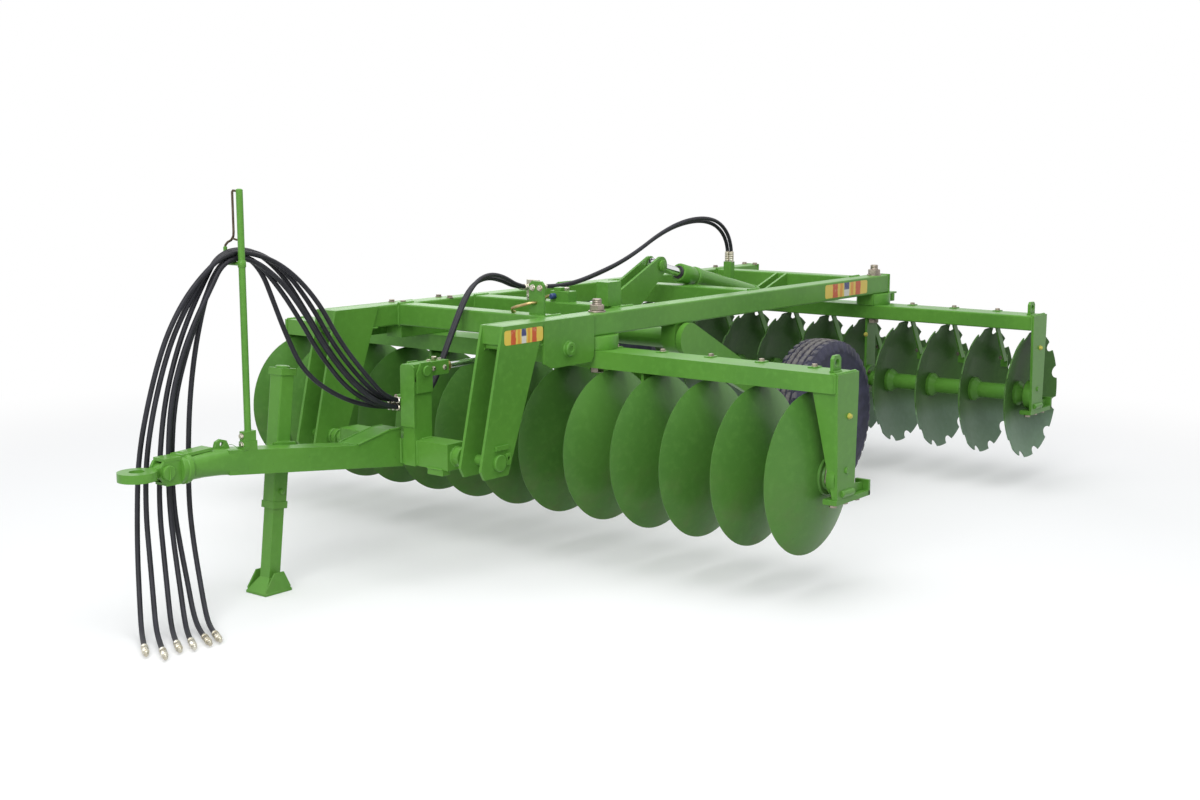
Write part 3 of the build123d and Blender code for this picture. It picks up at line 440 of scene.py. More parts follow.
def banded_label(name, x0, x1, z0, z1):
    """A plain marking tape: upright red bars on yellow, and in the middle a bar of blue above pale."""
    material, shader, place = new_finish(name)
    along = (place.axis(0) - x0) * (1.0 / (x1 - x0)) + (place.noise(40.0, 2.0) - 0.5) * 0.04
    up = (place.axis(2) - z0) * (1.0 / (z1 - z0))

    def bar(start, end):
        return along.over(start, start + 0.02) * (1.0 - along.over(end - 0.02, end))

    reds = bar(0.16, 0.30) + bar(0.70, 0.84)
    body = reds.tint((0.82, 0.60, 0.09), (0.62, 0.10, 0.03))
    body = (bar(0.33, 0.41) + bar(0.59, 0.67)).tint(body, (0.80, 0.34, 0.05))
    body = bar(0.43, 0.57).tint(body, (0.74, 0.72, 0.66))
    body = (bar(0.43, 0.57) * up.over(0.46, 0.54)).tint(body, (0.05, 0.06, 0.20))
    wear = place.noise(60.0, 4.0).over(0.55, 0.78) * 0.30
    feed(
        shader,
        Base_Color=wear.tint(body, (0.72, 0.66, 0.42)),
        Roughness=0.34 + wear * 0.4,
        Normal=place.noise(180.0).bump(0.1, 0.0005),
    )
    return material


def moulded_plastic(name, colour):
    """A small moulded cap."""
    material, shader, place = new_finish(name)
    cloud = place.noise(80.0, 3.0)
    darker = tuple(c * 0.75 for c in colour)
    feed(
        shader,
        Base_Color=cloud.over(0.35, 0.7).tint(colour, darker),
        Roughness=0.36 + cloud * 0.15,
        Normal=place.noise(700.0).bump(0.12, 0.0004),
    )
    return material


frame_green = sprayed_paint("frame_green", (0.125, 0.335, 0.046), (0.095, 0.272, 0.038))
disc_green = sprayed_paint("disc_green", (0.100, 0.262, 0.044), (0.076, 0.208, 0.036), 0.30, 0.05, 0.38)
# The rear discs' copy of the disc enamel: darker as painted shade in their hollow faces, with painted pale
# sky light on their lower halves.
rear_disc_painted_shade_and_sky = sprayed_paint("rear_disc_painted_shade_and_sky", (0.064, 0.168, 0.028), (0.048, 0.132, 0.022), 0.06, 0.0, 0.52, 0.55)
tyre_rubber = tread_rubber("tyre_rubber", (WHEEL_X, 0.0, WHEEL_Z))
hose_black = braided_hose("hose_black")
zinc = bare_metal("zinc", (0.62, 0.60, 0.52), (0.46, 0.42, 0.32), 0.26)
brass_zinc = bare_metal("yellow_zinc", (0.58, 0.44, 0.20), (0.42, 0.30, 0.14), 0.28)
dark_bolt = bare_metal("bolt_steel", (0.36, 0.31, 0.26), (0.22, 0.19, 0.16), 0.36)
rusty_wire = bare_metal("rusty_wire", (0.16, 0.13, 0.09), (0.10, 0.07, 0.045), 0.55)
chrome = bare_metal("chrome", (0.78, 0.79, 0.81), (0.70, 0.71, 0.73), 0.06, 0.04)
grease_cap = moulded_plastic("grease_cap", (0.62, 0.58, 0.10))
blue_cap = moulded_plastic("blue_cap", (0.03, 0.06, 0.20))
seal_black = seal_rubber("seal_black", (0.012, 0.012, 0.013), (0.03, 0.03, 0.032))

NODE_FINISH = {
    "frame_paint": frame_green,
    "disc_paint": disc_green,
    "rim_paint": frame_green,
    "tyre": tyre_rubber,
    "zinc": zinc,
    "chrome": chrome,
    "hose_rubber": hose_black,
}
for entry in frame["record"]["subparts"]:
    node = frame["nodes"][entry["node"]]
    node.data.materials.clear()
    node.data.materials.append(NODE_FINISH[entry["material_slot"]])
# The rear discs take the copy of the disc enamel with painted shade and painted sky light.
frame["nodes"]["rear_discs"].data.materials[0] = rear_disc_painted_shade_and_sky

# Mesh making: one Shape gathers the faces of one piece


def even_turns(count):
    """The angles of a full turn in equal steps."""
    return [2 * math.pi * i / count for i in range(count)]


def circle(centre, side, other, radius, turns):
    """Points round a centre, from two directions square to each other."""
    return [centre + (side * math.cos(a) + other * math.sin(a)) * radius for a in turns]


def upright(x0, z0, x1, z1):
    """The outline of an upright rectangle, as places along x and z."""
    return [(x0, z0), (x1, z0), (x1, z1), (x0, z1)]


class Shape:
    """Faces of one piece, in the machine's own frame."""

    def __init__(self):
        self.mesh = bmesh.new()

    def loop(self, points):
        return [self.mesh.verts.new(point) for point in points]

    def skin(self, loops, capped=True):
        """Joins closed loops of the same count."""
        count = len(loops[0])
        for near, far in zip(loops, loops[1:]):
            for i in range(count):
                j = (i + 1) % count
                self.mesh.faces.new((near[i], near[j], far[j], far[i]))
        if capped:
            self.mesh.faces.new(list(reversed(loops[0])))
            self.mesh.faces.new(loops[-1])

    def turned(self, start, way, profile, sides=24, hollow=False):
        """A turned piece: the profile gives the distance along the way and the radius."""
        start, way = Vector(start), Vector(way).normalized()
        side = way.orthogonal().normalized()
        other = way.cross(side)
        turns = even_turns(sides)
        loops = [self.loop(circle(start + way * along, side, other, r, turns)) for along, r in profile]
        if hollow:
            self.skin([*loops, loops[0]], False)
        else:
            self.skin(loops)

    def drum(self, seat, way, radius, length, sides, edge=0.002):
        """A turned piece whose two edges are taken off alike."""
        profile = [(0, radius - edge), (edge, radius), (length - edge, radius), (length, radius - edge)]
        self.turned(seat, way, profile, sides)

    def hexagon(self, seat, way, radius, length=0.011):
        """A union nut of a hose."""
        self.drum(seat, way, radius, length, 6, 0.001)

    def plug(self, seat, way, radius):
        """A hexagon plug."""
        profile = [(0, radius - 0.001), (0.002, radius), (0.014, radius), (0.016, radius - 0.002)]
        self.turned(seat, way, profile, 6)

    def slab(self, outline, depth):
        """A flat plate from its outline and the vector of its thickness."""
        depth = Vector(depth)
        near = self.loop([Vector(point) for point in outline])
        far = self.loop([Vector(point) + depth for point in outline])
        self.skin([near, far])

    def side_plate(self, outline, y, thick):
        """A plate that faces sideways; its outline gives places along x and z."""
        self.slab([(x, y, z) for x, z in outline], (0, thick, 0))

    def front_plate(self, outline, x, thick):
        """A plate that faces forward; its outline gives places along y and z."""
        self.slab([(x, y, z) for y, z in outline], (thick, 0, 0))

    def block(self, low, high):
        """A box between two corners."""
        x0, y0, z0 = low
        x1, y1, z1 = high
        self.slab([(x0, y0, z0), (x1, y0, z0), (x1, y1, z0), (x0, y1, z0)], (0, 0, z1 - z0))

    def side_eye(self, outline, hole, radius, y, thick):
        """A plate with a round hole that faces sideways; outline and hole are places along x and z."""
        hole, depth = Vector((hole[0], y, hole[1])), Vector((0, thick, 0))
        side = depth.orthogonal().normalized()
        other = depth.normalized().cross(side)
        arms = [Vector((x, y, z)) - hole for x, z in outline]
        corners = [(arm.dot(side), arm.dot(other)) for arm in arms]
        turns = even_turns(28) + [math.atan2(v, u) % (2 * math.pi) for u, v in corners]
        outer, inner = [], []
        for turn in sorted(turns):
            c, s = math.cos(turn), math.sin(turn)
            reach = None
            for (ax, ay), (bx, by) in zip(corners, corners[1:] + corners[:1]):
                across = c * (by - ay) - s * (bx - ax)
                if abs(across) < 1e-12:
                    continue
                along = (ax * (by - ay) - ay * (bx - ax)) / across
                part = (ax * s - ay * c) / across
                if along > 0 and -1e-6 <= part <= 1 + 1e-6:
                    reach = along if reach is None else max(reach, along)
            outer.append(hole + (side * c + other * s) * reach)
            inner.append(hole + (side * c + other * s) * radius)
        near_inner, near_outer = self.loop(inner), self.loop(outer)
        far_outer = self.loop([point + depth for point in outer])
        far_inner = self.loop([point + depth for point in inner])
        self.skin([near_inner, near_outer, far_outer, far_inner, near_inner], False)

    def rod(self, points, radius, sides=10, ripple=0.0):
        """A round rod along points; ripple makes the scales of a weld."""
        points = [Vector(point) for point in points]
        side = (points[1] - points[0]).orthogonal().normalized()
        loops = []
        for i, point in enumerate(points):
            ahead = points[min(i + 1, len(points) - 1)] - points[max(i - 1, 0)]
            way = ahead.normalized()
            side = (side - way * side.dot(way)).normalized()
            swell = radius * (1.0 + (ripple if i % 2 else -ripple))
            loops.append(self.loop(circle(point, side, way.cross(side), swell, even_turns(sides))))
        self.skin(loops)

    def washer(self, seat, way, size, thick):
        self.turned(seat, way, [(0, size), (thick * 0.7, size), (thick, size * 0.94)], 20)

    def bolt(self, seat, way, size):
        """A hexagon head on its washer. The size is the bolt's own diameter."""
        base, head = size * 0.16, size * 0.95
        self.washer(seat, way, size * 1.08, base)
        face, top = base + size * 0.52, base + size * 0.62
        self.turned(seat, way, [(base, head * 0.97), (face, head * 0.97), (top, head * 0.84)], 6)

    def nut(self, seat, way, size, stud):
        """A nut on its washer, with the end of the stud standing out."""
        base, head = size * 0.16, size * 0.95
        self.washer(seat, way, size * 1.08, base)
        top, edge = base + size * 0.82, size * 0.06
        flats = [(base + edge, head * 0.97), (top - edge, head * 0.97)]
        self.turned(seat, way, [(base, head * 0.9), *flats, (top, head * 0.86)], 6)
        threads = 4
        profile = [(top - size * 0.1, size * 0.46)]
        for i in range(threads):
            low = top + stud * i / threads
            profile += [(low + stud * 0.04, size * 0.5), (low + stud * 0.16, size * 0.45)]
        profile.append((top + stud, size * 0.38))
        self.turned(seat, way, profile, 14)

    def cap(self, seat, way, radius):
        """A grease nipple's cap: a small dome with a lip."""
        shares = ((0, 1), (0.3, 1), (0.35, 0.8), (0.9, 0.7), (1.2, 0.35))
        self.turned(seat, way, [(radius * along, radius * out) for along, out in shares], 16)

    def weld(self, start, end, size=0.006):
        """A weld bead, half sunk in its corner."""
        start, end = Vector(start), Vector(end)
        count = max(4, int((end - start).length / (size * 1.3)))
        self.rod([start.lerp(end, i / count) for i in range(count + 1)], size, 8, 0.10)

    def weld_ring(self, centre, way, radius, size=0.005):
        """A weld bead round a tube or pin."""
        way = Vector(way).normalized()
        side = way.orthogonal().normalized()
        count = max(16, int(2 * math.pi * radius / (size * 1.6)) // 2 * 2)
        turns = [2 * math.pi * i / count for i in range(count + 1)]
        self.rod(circle(Vector(centre), side, way.cross(side), radius, turns), size, 7, 0.10)

    def finish(self, name, material, body, slot, bevel=0.0, angle=35.0):
        """Makes the piece and lets it ride on its body."""
        data = bpy.data.meshes.new(name)
        bmesh.ops.recalc_face_normals(self.mesh, faces=self.mesh.faces)
        self.mesh.to_mesh(data)
        self.mesh.free()
        data.shade_smooth()
        data.set_sharp_from_angle(angle=math.radians(angle))
        data.materials.append(material)
        piece = add_object(name, data)
        if bevel:
            edge = piece.modifiers.new("edge", "BEVEL")
            edge.width = bevel
            edge.segments = 2
            edge.limit_method = "ANGLE"
            edge.angle_limit = math.radians(40)
            edge.harden_normals = True
        if body:
            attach(piece, body)
        return piece

    def green(self, name, body, bevel=0.0, angle=35.0):
        """A piece in the frame's green paint."""
        self.finish(name, frame_green, body, "frame_paint", bevel, angle)

    def beads(self, name, body):
        """Painted weld beads."""
        self.green(name, body, 0.0, 60)

    def plated(self, name, metal, body, angle=30):
        """Fasteners and fittings of bare or plated metal."""
        return self.finish(name, metal, body, "zinc", 0.0, angle)


# Hoses: six supply hoses, two link hoses to the mast and two lift hoses to the cylinder

COUPLING_RADIUS = 0.012
COUPLING_TAIL = (
    (-0.006, 0.8), (0, 0.98), (0.004, 1), (0.010, 1), (0.011, 0.86), (0.016, 0.86), (0.017, 1),
)
COUPLING_FLATS = ((0.017, 0.99), (0.031, 0.99), (0.032, 0.9))
COUPLING_NOSE = (
    (0.030, 0.9), (0.033, 1), (0.046, 1), (0.047, 0.88), (0.050, 0.88), (0.051, 1), (0.059, 1),
    (0.060, 0.86), (0.061, 0.66), (0.072, 0.66), (0.074, 0.52), (0.078, 0.52), (0.080, 0.64),
    (0.087, 0.64), (0.090, 0.5),
)
PORT_FACE = 1.046
PORT_DEEP = 1.0845


def start_way(route):
    return (Vector(route[1]) - Vector(route[0])).normalized()


def crimp(name, seat, way, body, length=0.034):
    """A crimped ferrule round a hose's end."""
    shape = Shape()
    r = HOSE_RADIUS
    profile = [(-0.004, r * 1.15), (0, r * 1.42), (0.004, r * 1.46)]
    for i in range(3):
        base = 0.006 + i * (length - 0.012) / 3
        profile += [(base, r * 1.46), (base + 0.003, r * 1.30), (base + 0.006, r * 1.46)]
    profile += [(length, r * 1.42), (length + 0.002, r * 1.15)]
    shape.turned(seat, way, profile, 20)
    return shape.plated(name, zinc, body, 25)


def make_coupling(number, route):
    """The coupling on a supply hose's free end."""
    shape = Shape()
    way = (Vector(route[-1]) - Vector(route[-2])).normalized()
    for shares, sides in ((COUPLING_TAIL, 20), (COUPLING_FLATS, 6), (COUPLING_NOSE, 20)):
        profile = [(along, COUPLING_RADIUS * share) for along, share in shares]
        shape.turned(route[-1], way, profile, sides)
    coupling = shape.plated(f"coupling_{number}", zinc, "tow_frame", 25)
    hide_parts("couplings")
    return coupling


def supply_hose(number, route):
    """A hose from the manifold on the mast over the stand down to its coupling."""
    hose = route_curve(f"supply_hose_{number}_line", route, HOSE_RADIUS)
    hose.data.materials.append(hose_black)
    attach(hose, "tow_frame")
    coupling = make_coupling(number, route)
    ferrule = crimp(f"supply_crimp_{number}", route[0], start_way(route), "tow_frame")
    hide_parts(f"supply_hose_{number}")


def blended_hose(node, route, last):
    """A hose from the frame to its fitting on a moving body, made as one still piece."""
    name = f"{node}_line"
    line = route_line([*route, last])
    shape = Shape()
    shape.rod(line, HOSE_RADIUS, 12)
    hose = shape.finish(name, hose_black, None, "hose_rubber")
    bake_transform(hose)
    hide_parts(node)
    ferrule = crimp(f"{name}_crimp", route[0], start_way(route), "frame")


for number, (route, length) in enumerate(zip(SUPPLY_ROUTES, SUPPLY_LENGTHS), 1):
    supply_hose(number, route)
for number, (route, length) in enumerate(zip(LINK_ROUTES, LINK_LENGTHS), 1):
    last = (MANIFOLD_REAR, route[-1][1], route[-1][2])
    blended_hose(f"link_hose_{number}", route, last)
for number, (route, length) in enumerate(zip(LIFT_ROUTES, LIFT_LENGTHS), 1):
    x, y, _ = route[-1]
    blended_hose(f"lift_hose_{number}", route, (x, y, PORT_DEEP))
    crimp(f"cylinder_crimp_{number}", (x, y, PORT_FACE), (0, 0, 1), "lift_barrel", 0.046)

# Edges of the welded frame, rounded a little as rolled steel is


def soften(names, width, segments=2):
    for name in names:
        node = frame["nodes"][name]
        weld = node.modifiers.new("weld", "WELD")
        weld.merge_threshold = 0.00002
        flat = node.modifiers.new("flat", "DECIMATE")
        flat.decimate_type = "DISSOLVE"
        flat.angle_limit = math.radians(1.0)
        edge = node.modifiers.new("edge", "BEVEL")
        edge.width = width
        edge.segments = segments
        edge.limit_method = "ANGLE"
        edge.angle_limit = math.radians(50)


soften(("main_beams", "cross_tubes", "front_gang_beam", "rear_gang_beam"), 0.006)
soften(("drawbar", "mast", "jack_tube", "leveller_box"), 0.004)
soften(("drop_brackets", "front_hangers", "rear_hangers", "gang_pads", "frame_lugs"), 0.0015)
soften(("front_scrapers", "rear_scrapers", "hose_bulkhead", "jack_leg"), 0.001, 1)

# Tyres: ribbed implement tyres with slanted slots across the ribs and shoulder lugs

TYRE_RADIUS = 0.3645
TYRE_TURNS = 264
CROWN_FALL = 0.0075
TREAD_HALF = 0.072
TREAD_STEPS = 48
RIB_EDGES = (-0.046, -0.016, 0.016, 0.046)
GROOVE_HALF = 0.0045
GROOVE_DEPTH = 0.0085
SLOT_COUNT = 44
SLOT_SKEW = 9.0
SLOT_DEPTH = 0.0045
SLOT_SHARE = 0.22
SHOULDER_START = 0.0505
LUG_DEPTH = 0.0075
LUG_SHARE = 0.34
WALL_START = 0.315
WALL_LUG = 0.0035
WALL_ACROSS = 0.06
TYRE_WALL = (
    (0.0740, 0.2055), (0.0775, 0.2140), (0.0770, 0.2200), (0.0830, 0.2300), (0.0872, 0.2480),
    (0.0880, 0.2500), (0.0893, 0.2700), (0.0897, 0.2900), (0.0885, 0.3080), (0.0892, 0.3100),
    (0.0870, 0.3220), (0.0825, 0.3360), (0.0770, 0.3470), (0.0730, 0.3530),
)


def slot_phase(turn, across):
    """How far a place lies past the last slot, as a share of the step between slots."""
    return (turn * SLOT_COUNT / (2 * math.pi) + SLOT_SKEW * across) % 1.0


def tread_depth(turn, across):
    """How far the tread lies below its crown at one place."""
    if abs(across) > TREAD_HALF:
        return 0.0
    if any(abs(across - edge) < GROOVE_HALF for edge in RIB_EDGES):
        return GROOVE_DEPTH
    phase = slot_phase(turn, across)
    if abs(across) > SHOULDER_START:
        return LUG_DEPTH if phase < LUG_SHARE else 0.0
    return SLOT_DEPTH if phase < SLOT_SHARE else 0.0


def make_tyre(side, hand):
    profile = [(across, radius, False) for across, radius in TYRE_WALL]
    for i in range(TREAD_STEPS + 1):
        across = TREAD_HALF * (1 - 2 * i / TREAD_STEPS)
        profile.append((across, TYRE_RADIUS - CROWN_FALL * (across / TREAD_HALF) ** 2, True))
    profile += [(-across, radius, False) for across, radius in reversed(TYRE_WALL)]
    shape = Shape()
    loops = []
    for turn in even_turns(TYRE_TURNS):
        points = []
        for across, radius, tread in profile:
            lug = 0.0
            if tread:
                radius -= tread_depth(turn, across)
            elif radius > WALL_START and slot_phase(turn, math.copysign(WALL_ACROSS, across)) < LUG_SHARE:
                lug = WALL_LUG
            y = hand * WHEEL_Y + (across - math.copysign(lug, across))
            points.append((WHEEL_X + radius * math.sin(turn), y, WHEEL_Z + radius * math.cos(turn)))
        loops.append(shape.loop(points))
    shape.skin([*loops, loops[0]], False)
    piece = shape.finish(f"ribbed_tyre_{side}", tyre_rubber, f"wheel_{side}", "tyre", 0.0, 30)
    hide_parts(f"tyre_{side}")


# Wheel fittings: nuts, hub plate, rim beads and the valve's stem

WHEEL_NUTS = 6
HUB_FLANGE = (
    (0.016, 0.060), (0.016, 0.122), (0.0215, 0.122), (0.0225, 0.120), (0.0225, 0.064), (0.022, 0.060),
)
HUB_CAP = ((0.066, 0.050), (0.070, 0.050), (0.090, 0.047), (0.097, 0.041), (0.101, 0.028), (0.102, 0.010))
RIM_BEAD = (
    (0.0745, 0.2045), (0.078, 0.2065), (0.0815, 0.2120),
    (0.0785, 0.2135), (0.0755, 0.2085), (0.0735, 0.2060),
)


def make_wheel_fittings(side, hand):
    body = f"wheel_{side}"
    centre = Vector((WHEEL_X, hand * WHEEL_Y, WHEEL_Z))
    out = Vector((0, hand, 0))
    nuts = Shape()
    for i in range(WHEEL_NUTS):
        turn = 2 * math.pi * (i + 0.5) / WHEEL_NUTS
        seat = centre + out * 0.022 + Vector((math.sin(turn), 0, math.cos(turn))) * 0.096
        nuts.nut(seat, out, 0.016, 0.010)
    nuts.plated(f"wheel_nuts_{side}", zinc, body)
    plate = Shape()
    plate.turned(centre, out, HUB_FLANGE, 40, True)
    plate.turned(centre, out, HUB_CAP, 32)
    for way in (1, -1):
        plate.turned(centre, out * way, RIM_BEAD, 72, True)
    plate.finish(f"hub_plate_{side}", frame_green, body, "rim_paint")
    stem = Shape()
    foot = centre + Vector((0.0, hand * 0.030, 0.190))
    stem.turned(foot, (0, hand, -0.35), [(0, 0.006), (0.008, 0.006), (0.010, 0.004), (0.032, 0.004)], 12)
    stem.turned(foot, (0, hand, -0.35), [(0.030, 0.0052), (0.042, 0.0052), (0.043, 0.004)], 12)
    stem.finish(f"tyre_valve_{side}", seal_black, body, None)


for side, hand in SIDES:
    make_tyre(side, hand)
    make_wheel_fittings(side, hand)

# Gang ends: hub rings, axle nuts, bearing feet, caps and lifting lugs

HUB_RING = (
    (0, 0.043), (0, 0.071), (0.006, 0.071), (0.009, 0.068), (0.009, 0.052), (0.017, 0.048), (0.017, 0.043),
)
AXLE_NUT = ((0.0165, 0.050), (0.0185, 0.054), (0.043, 0.054), (0.046, 0.049))
AXLE_END = ((0.040, 0.0415), (0.050, 0.0415), (0.0515, 0.039))
FOOT_WIDE = 0.058
FOOT_LOW = 0.343
FOOT_HIGH = 0.363
HANGER_GAPS = (3, 8)
HANGER_FACE = 0.0165
CAP_RADIUS = 0.0115


def bolt_places(x, radius):
    """Four places round an axle, on the diagonals, along x and z."""
    for turn in range(4):
        angle = math.pi / 4 + math.pi / 2 * turn
        yield x + radius * math.cos(angle), AXLE_Z + radius * math.sin(angle)


def make_hub(gang, x, hand):
    hub, out = (x, hub_y(0, hand), AXLE_Z), (0, hand, 0)
    ring = Shape()
    ring.turned(hub, out, HUB_RING, 48, True)
    ring.finish(f"{gang}_hub_ring", disc_green, f"{gang}_gang", "disc_paint")
    nut = Shape()
    nut.turned(hub, out, AXLE_NUT, 6)
    nut.turned(hub, out, AXLE_END, 32)
    nut.finish(f"{gang}_axle_nut", dark_bolt, f"{gang}_gang", "zinc", 0.0015)


def add_bearing_foot(feet, bolts, caps, welds, x, face, way):
    """One end hanger's foot, its bearing bolts and its cap; the way points out of the gang."""
    inner = face - way * FOOT_WIDE
    low, wide = min(face, inner), abs(face - inner)
    middle = (face + inner) / 2
    feet.side_plate(upright(x - 0.180, FOOT_LOW, x + 0.066, FOOT_HIGH), low, wide)
    feet.side_plate(upright(x - 0.182, FOOT_LOW, x - 0.168, 0.402), low, wide)
    rib = [(x - 0.168, FOOT_HIGH), (x - 0.062, FOOT_HIGH), (x - 0.062, 0.400), (x - 0.168, 0.392)]
    feet.side_plate(rib, middle - 0.005, 0.010)
    feet.drum((x - 0.050, face, 0.382), (1, 0, 0), 0.013, 0.083, 20, 0.003)
    for along in (-0.125, -0.040, 0.040):
        bolts.bolt((x + along, middle, FOOT_LOW), (0, 0, -1), 0.016)
    for bolt_x, bolt_z in bolt_places(x, 0.052):
        bolts.bolt((bolt_x, face - way * 0.0435, bolt_z), (0, -way, 0), 0.012)
    stub = [(-0.001, 0.012), (0.004, 0.012), (0.006, 0.010)]
    feet.turned((x, face, AXLE_Z + 0.030), (0, way, 0), stub, 20)
    caps.cap((x - 0.009, face, 0.663), (0, way, 0), CAP_RADIUS)
    y = face - way * 0.012
    for edge in (-1, 1):
        welds.weld((x + edge * GANG_HALF, y, GANG_TOP), (x + edge * 0.0745, y, GANG_BOTTOM + 0.002))
    welds.weld((x - GANG_HALF + 0.004, y, GANG_TOP), (x + GANG_HALF - 0.004, y, GANG_TOP))


def add_middle_hanger(bolts, caps, welds, x, y):
    """The welds, bearing bolts and cap of a hanger between two discs."""
    caps.cap((x + 0.045, y, 0.665), (1, 0, 0), CAP_RADIUS)
    for edge in (-1, 1):
        weld_y = y + edge * 0.006
        welds.weld((x - 0.043, weld_y, GANG_BOTTOM), (x + 0.043, weld_y, GANG_BOTTOM), 0.005)
        welds.weld_ring((x, y + edge * HANGER_FACE, AXLE_Z), (0, 1, 0), 0.067, 0.003)
    for bolt_x, bolt_z in bolt_places(x, 0.054):
        for edge in (-1, 1):
            bolts.bolt((bolt_x, y + edge * HANGER_FACE, bolt_z), (0, edge, 0), 0.010)


def make_gang_ends(gang, x, hand):
    carrier = f"{gang}_gang_frame"
    feet, bolts, caps, welds = Shape(), Shape(), Shape(), Shape()
    for face, way in ((hand * LONG_Y, hand), (-hand * SHORT_Y, -hand)):
        add_bearing_foot(feet, bolts, caps, welds, x, face, way)
    for gap in HANGER_GAPS:
        middle = hub_y(gap + 1, hand) + hand * (HUB_STEP - DISC_THICK) / 2
        add_middle_hanger(bolts, caps, welds, x, middle)
    lug_y = hand * 1.546 if gang == "front" else -hand * 1.300
    low = GANG_TOP - 0.001
    outline = [(-0.028, low), (0.028, low), (0.028, 0.868), (0.016, 0.881), (-0.016, 0.881), (-0.028, 0.868)]
    feet.side_eye([(x + along, z) for along, z in outline], (x, 0.853), 0.0135, lug_y - 0.007, 0.014)
    for edge in (-1, 1):
        weld_y = lug_y + edge * 0.007
        welds.weld((x - 0.028, weld_y, GANG_TOP), (x + 0.028, weld_y, GANG_TOP), 0.005)
    feet.green(f"{gang}_bearing_feet", carrier, 0.0015)
    bolts.plated(f"{gang}_bearing_bolts", dark_bolt, carrier)
    caps.finish(f"{gang}_grease_caps", grease_cap, carrier, None, 0.0, 30)
    welds.beads(f"{gang}_hanger_welds", carrier)


def make_scraper_bolts(gang, x, hand):
    """The straps that hold the scrapers' arms on the gang beam, and the bolts of straps and blades."""
    carrier = f"{gang}_gang_frame"
    bolts, straps = Shape(), Shape()
    strap_top = GANG_TOP + 0.004
    for index in range(DISC_COUNT - 1):
        arm_y = hub_y(index, hand) - hand * (DISC_THICK + 0.0744 + 0.009 + 0.004)
        near, far = arm_y - 0.016, arm_y + 0.016
        bolts.bolt((x - 0.055, arm_y, strap_top), (0, 0, 1), 0.012)
        bolts.bolt((x - 0.075, arm_y, GANG_BOTTOM + 0.030), (-1, 0, 0), 0.012)
        straps.block((x - 0.079, near, GANG_BOTTOM - 0.012), (x - GANG_HALF, far, strap_top))
        straps.block((x - GANG_HALF - 0.001, near, GANG_TOP), (x - 0.030, far, strap_top))
        for along, z in ((0.030, 0.546), (0.062, 0.574)):
            bolts.bolt((x - 0.182, hub_y(index, hand) - hand * along, z), (1, 0, 0), 0.009)
    straps.green(f"{gang}_scraper_straps", carrier, 0.001)
    bolts.plated(f"{gang}_scraper_bolts", dark_bolt, carrier)


for gang, x, hand in GANGS:
    make_hub(gang, x, hand)
    make_gang_ends(gang, x, hand)
    make_scraper_bolts(gang, x, hand)

# Main frame: pivot studs, slide clamps, end plates, bracket plates, pins, welds and markings

STUD_THREAD = (
    (0.029, 0.019), (0.034, 0.0195), (0.038, 0.018), (0.042, 0.0195), (0.046, 0.018), (0.050, 0.0195),
    (0.053, 0.016),
)
BRACKET_BOSS = ((0, 0.027), (0.014, 0.027), (0.018, 0.024), (0.018, 0.012), (0.014, 0.011))
SHAFT_COLLAR = ((0, 0.0455), (0, 0.060), (0.006, 0.060), (0.008, 0.057), (0.008, 0.0455))
CROSS_OFFSETS = (0.220, -0.250, -1.215, -2.150)
BOSS_X = 0.561


def add_pivot_studs(studs):
    """The pivot pins' washers and nuts, and the bolts of the slide pads."""
    up, down = (0, 0, 1), (0, 0, -1)
    for x in (FRONT_X, REAR_X):
        top, foot = (x, BEAM_Y, FRAME_TOP), (x, BEAM_Y, GANG_BOTTOM)
        studs.washer(top, up, 0.036, 0.006)
        studs.turned(top, up, [(0.006, 0.029), (0.008, 0.031), (0.028, 0.031), (0.030, 0.028)], 6)
        studs.turned(top, up, STUD_THREAD, 24)
        studs.turned(foot, down, [(0, 0.035), (0.005, 0.035), (0.006, 0.033)], 24)
        studs.turned(foot, down, [(0.006, 0.027), (0.008, 0.029), (0.026, 0.029), (0.028, 0.026)], 6)
    for x, sign in ((FRONT_X, 1), (REAR_X, -1)):
        for along in (-0.060, 0.225):
            for edge in (-1, 1):
                studs.bolt((x + sign * along, -BEAM_Y + edge * 0.034, FRAME_TOP), up, 0.014)


def add_beam_ends(plates, welds):
    """The plates that close the beams' rear ends, and the bush under the left one."""
    corners = ((-1, -1), (1, -1), (1, 1), (-1, 1))
    for hand, end in ((1, REAR_X - 0.075), (-1, REAR_X - 0.240)):
        y = hand * BEAM_Y
        plates.block((end - 0.008, y - 0.048, FRAME_BOTTOM - 0.003), (end, y + 0.048, FRAME_TOP + 0.003))
        places = [(end, y + a * BEAM_HALF, FRAME_MIDDLE + b * BEAM_HALF) for a, b in corners]
        for start, stop in zip(places, places[1:] + places[:1]):
            welds.weld(start, stop, 0.004)
    plates.drum((REAR_X - 0.118, BEAM_Y + 0.028, 0.828), (0, 0, 1), 0.026, 0.038, 28)
    plates.block((REAR_X - 0.150, BEAM_Y - 0.030, 0.866), (REAR_X - 0.060, BEAM_Y + 0.052, FRAME_BOTTOM))


def add_cross_welds(welds):
    """Beads where the cross tubes meet the beams."""
    for x in (FRONT_X + offset for offset in CROSS_OFFSETS):
        for hand in (1, -1):
            y = hand * (BEAM_Y - BEAM_HALF)
            for edge in (-1, 1):
                welds.weld((x + edge * BEAM_HALF, y, FRAME_BOTTOM), (x + edge * BEAM_HALF, y, FRAME_TOP))
            for z in (FRAME_TOP, FRAME_BOTTOM):
                welds.weld((x - BEAM_HALF, y, z), (x + BEAM_HALF, y, z))


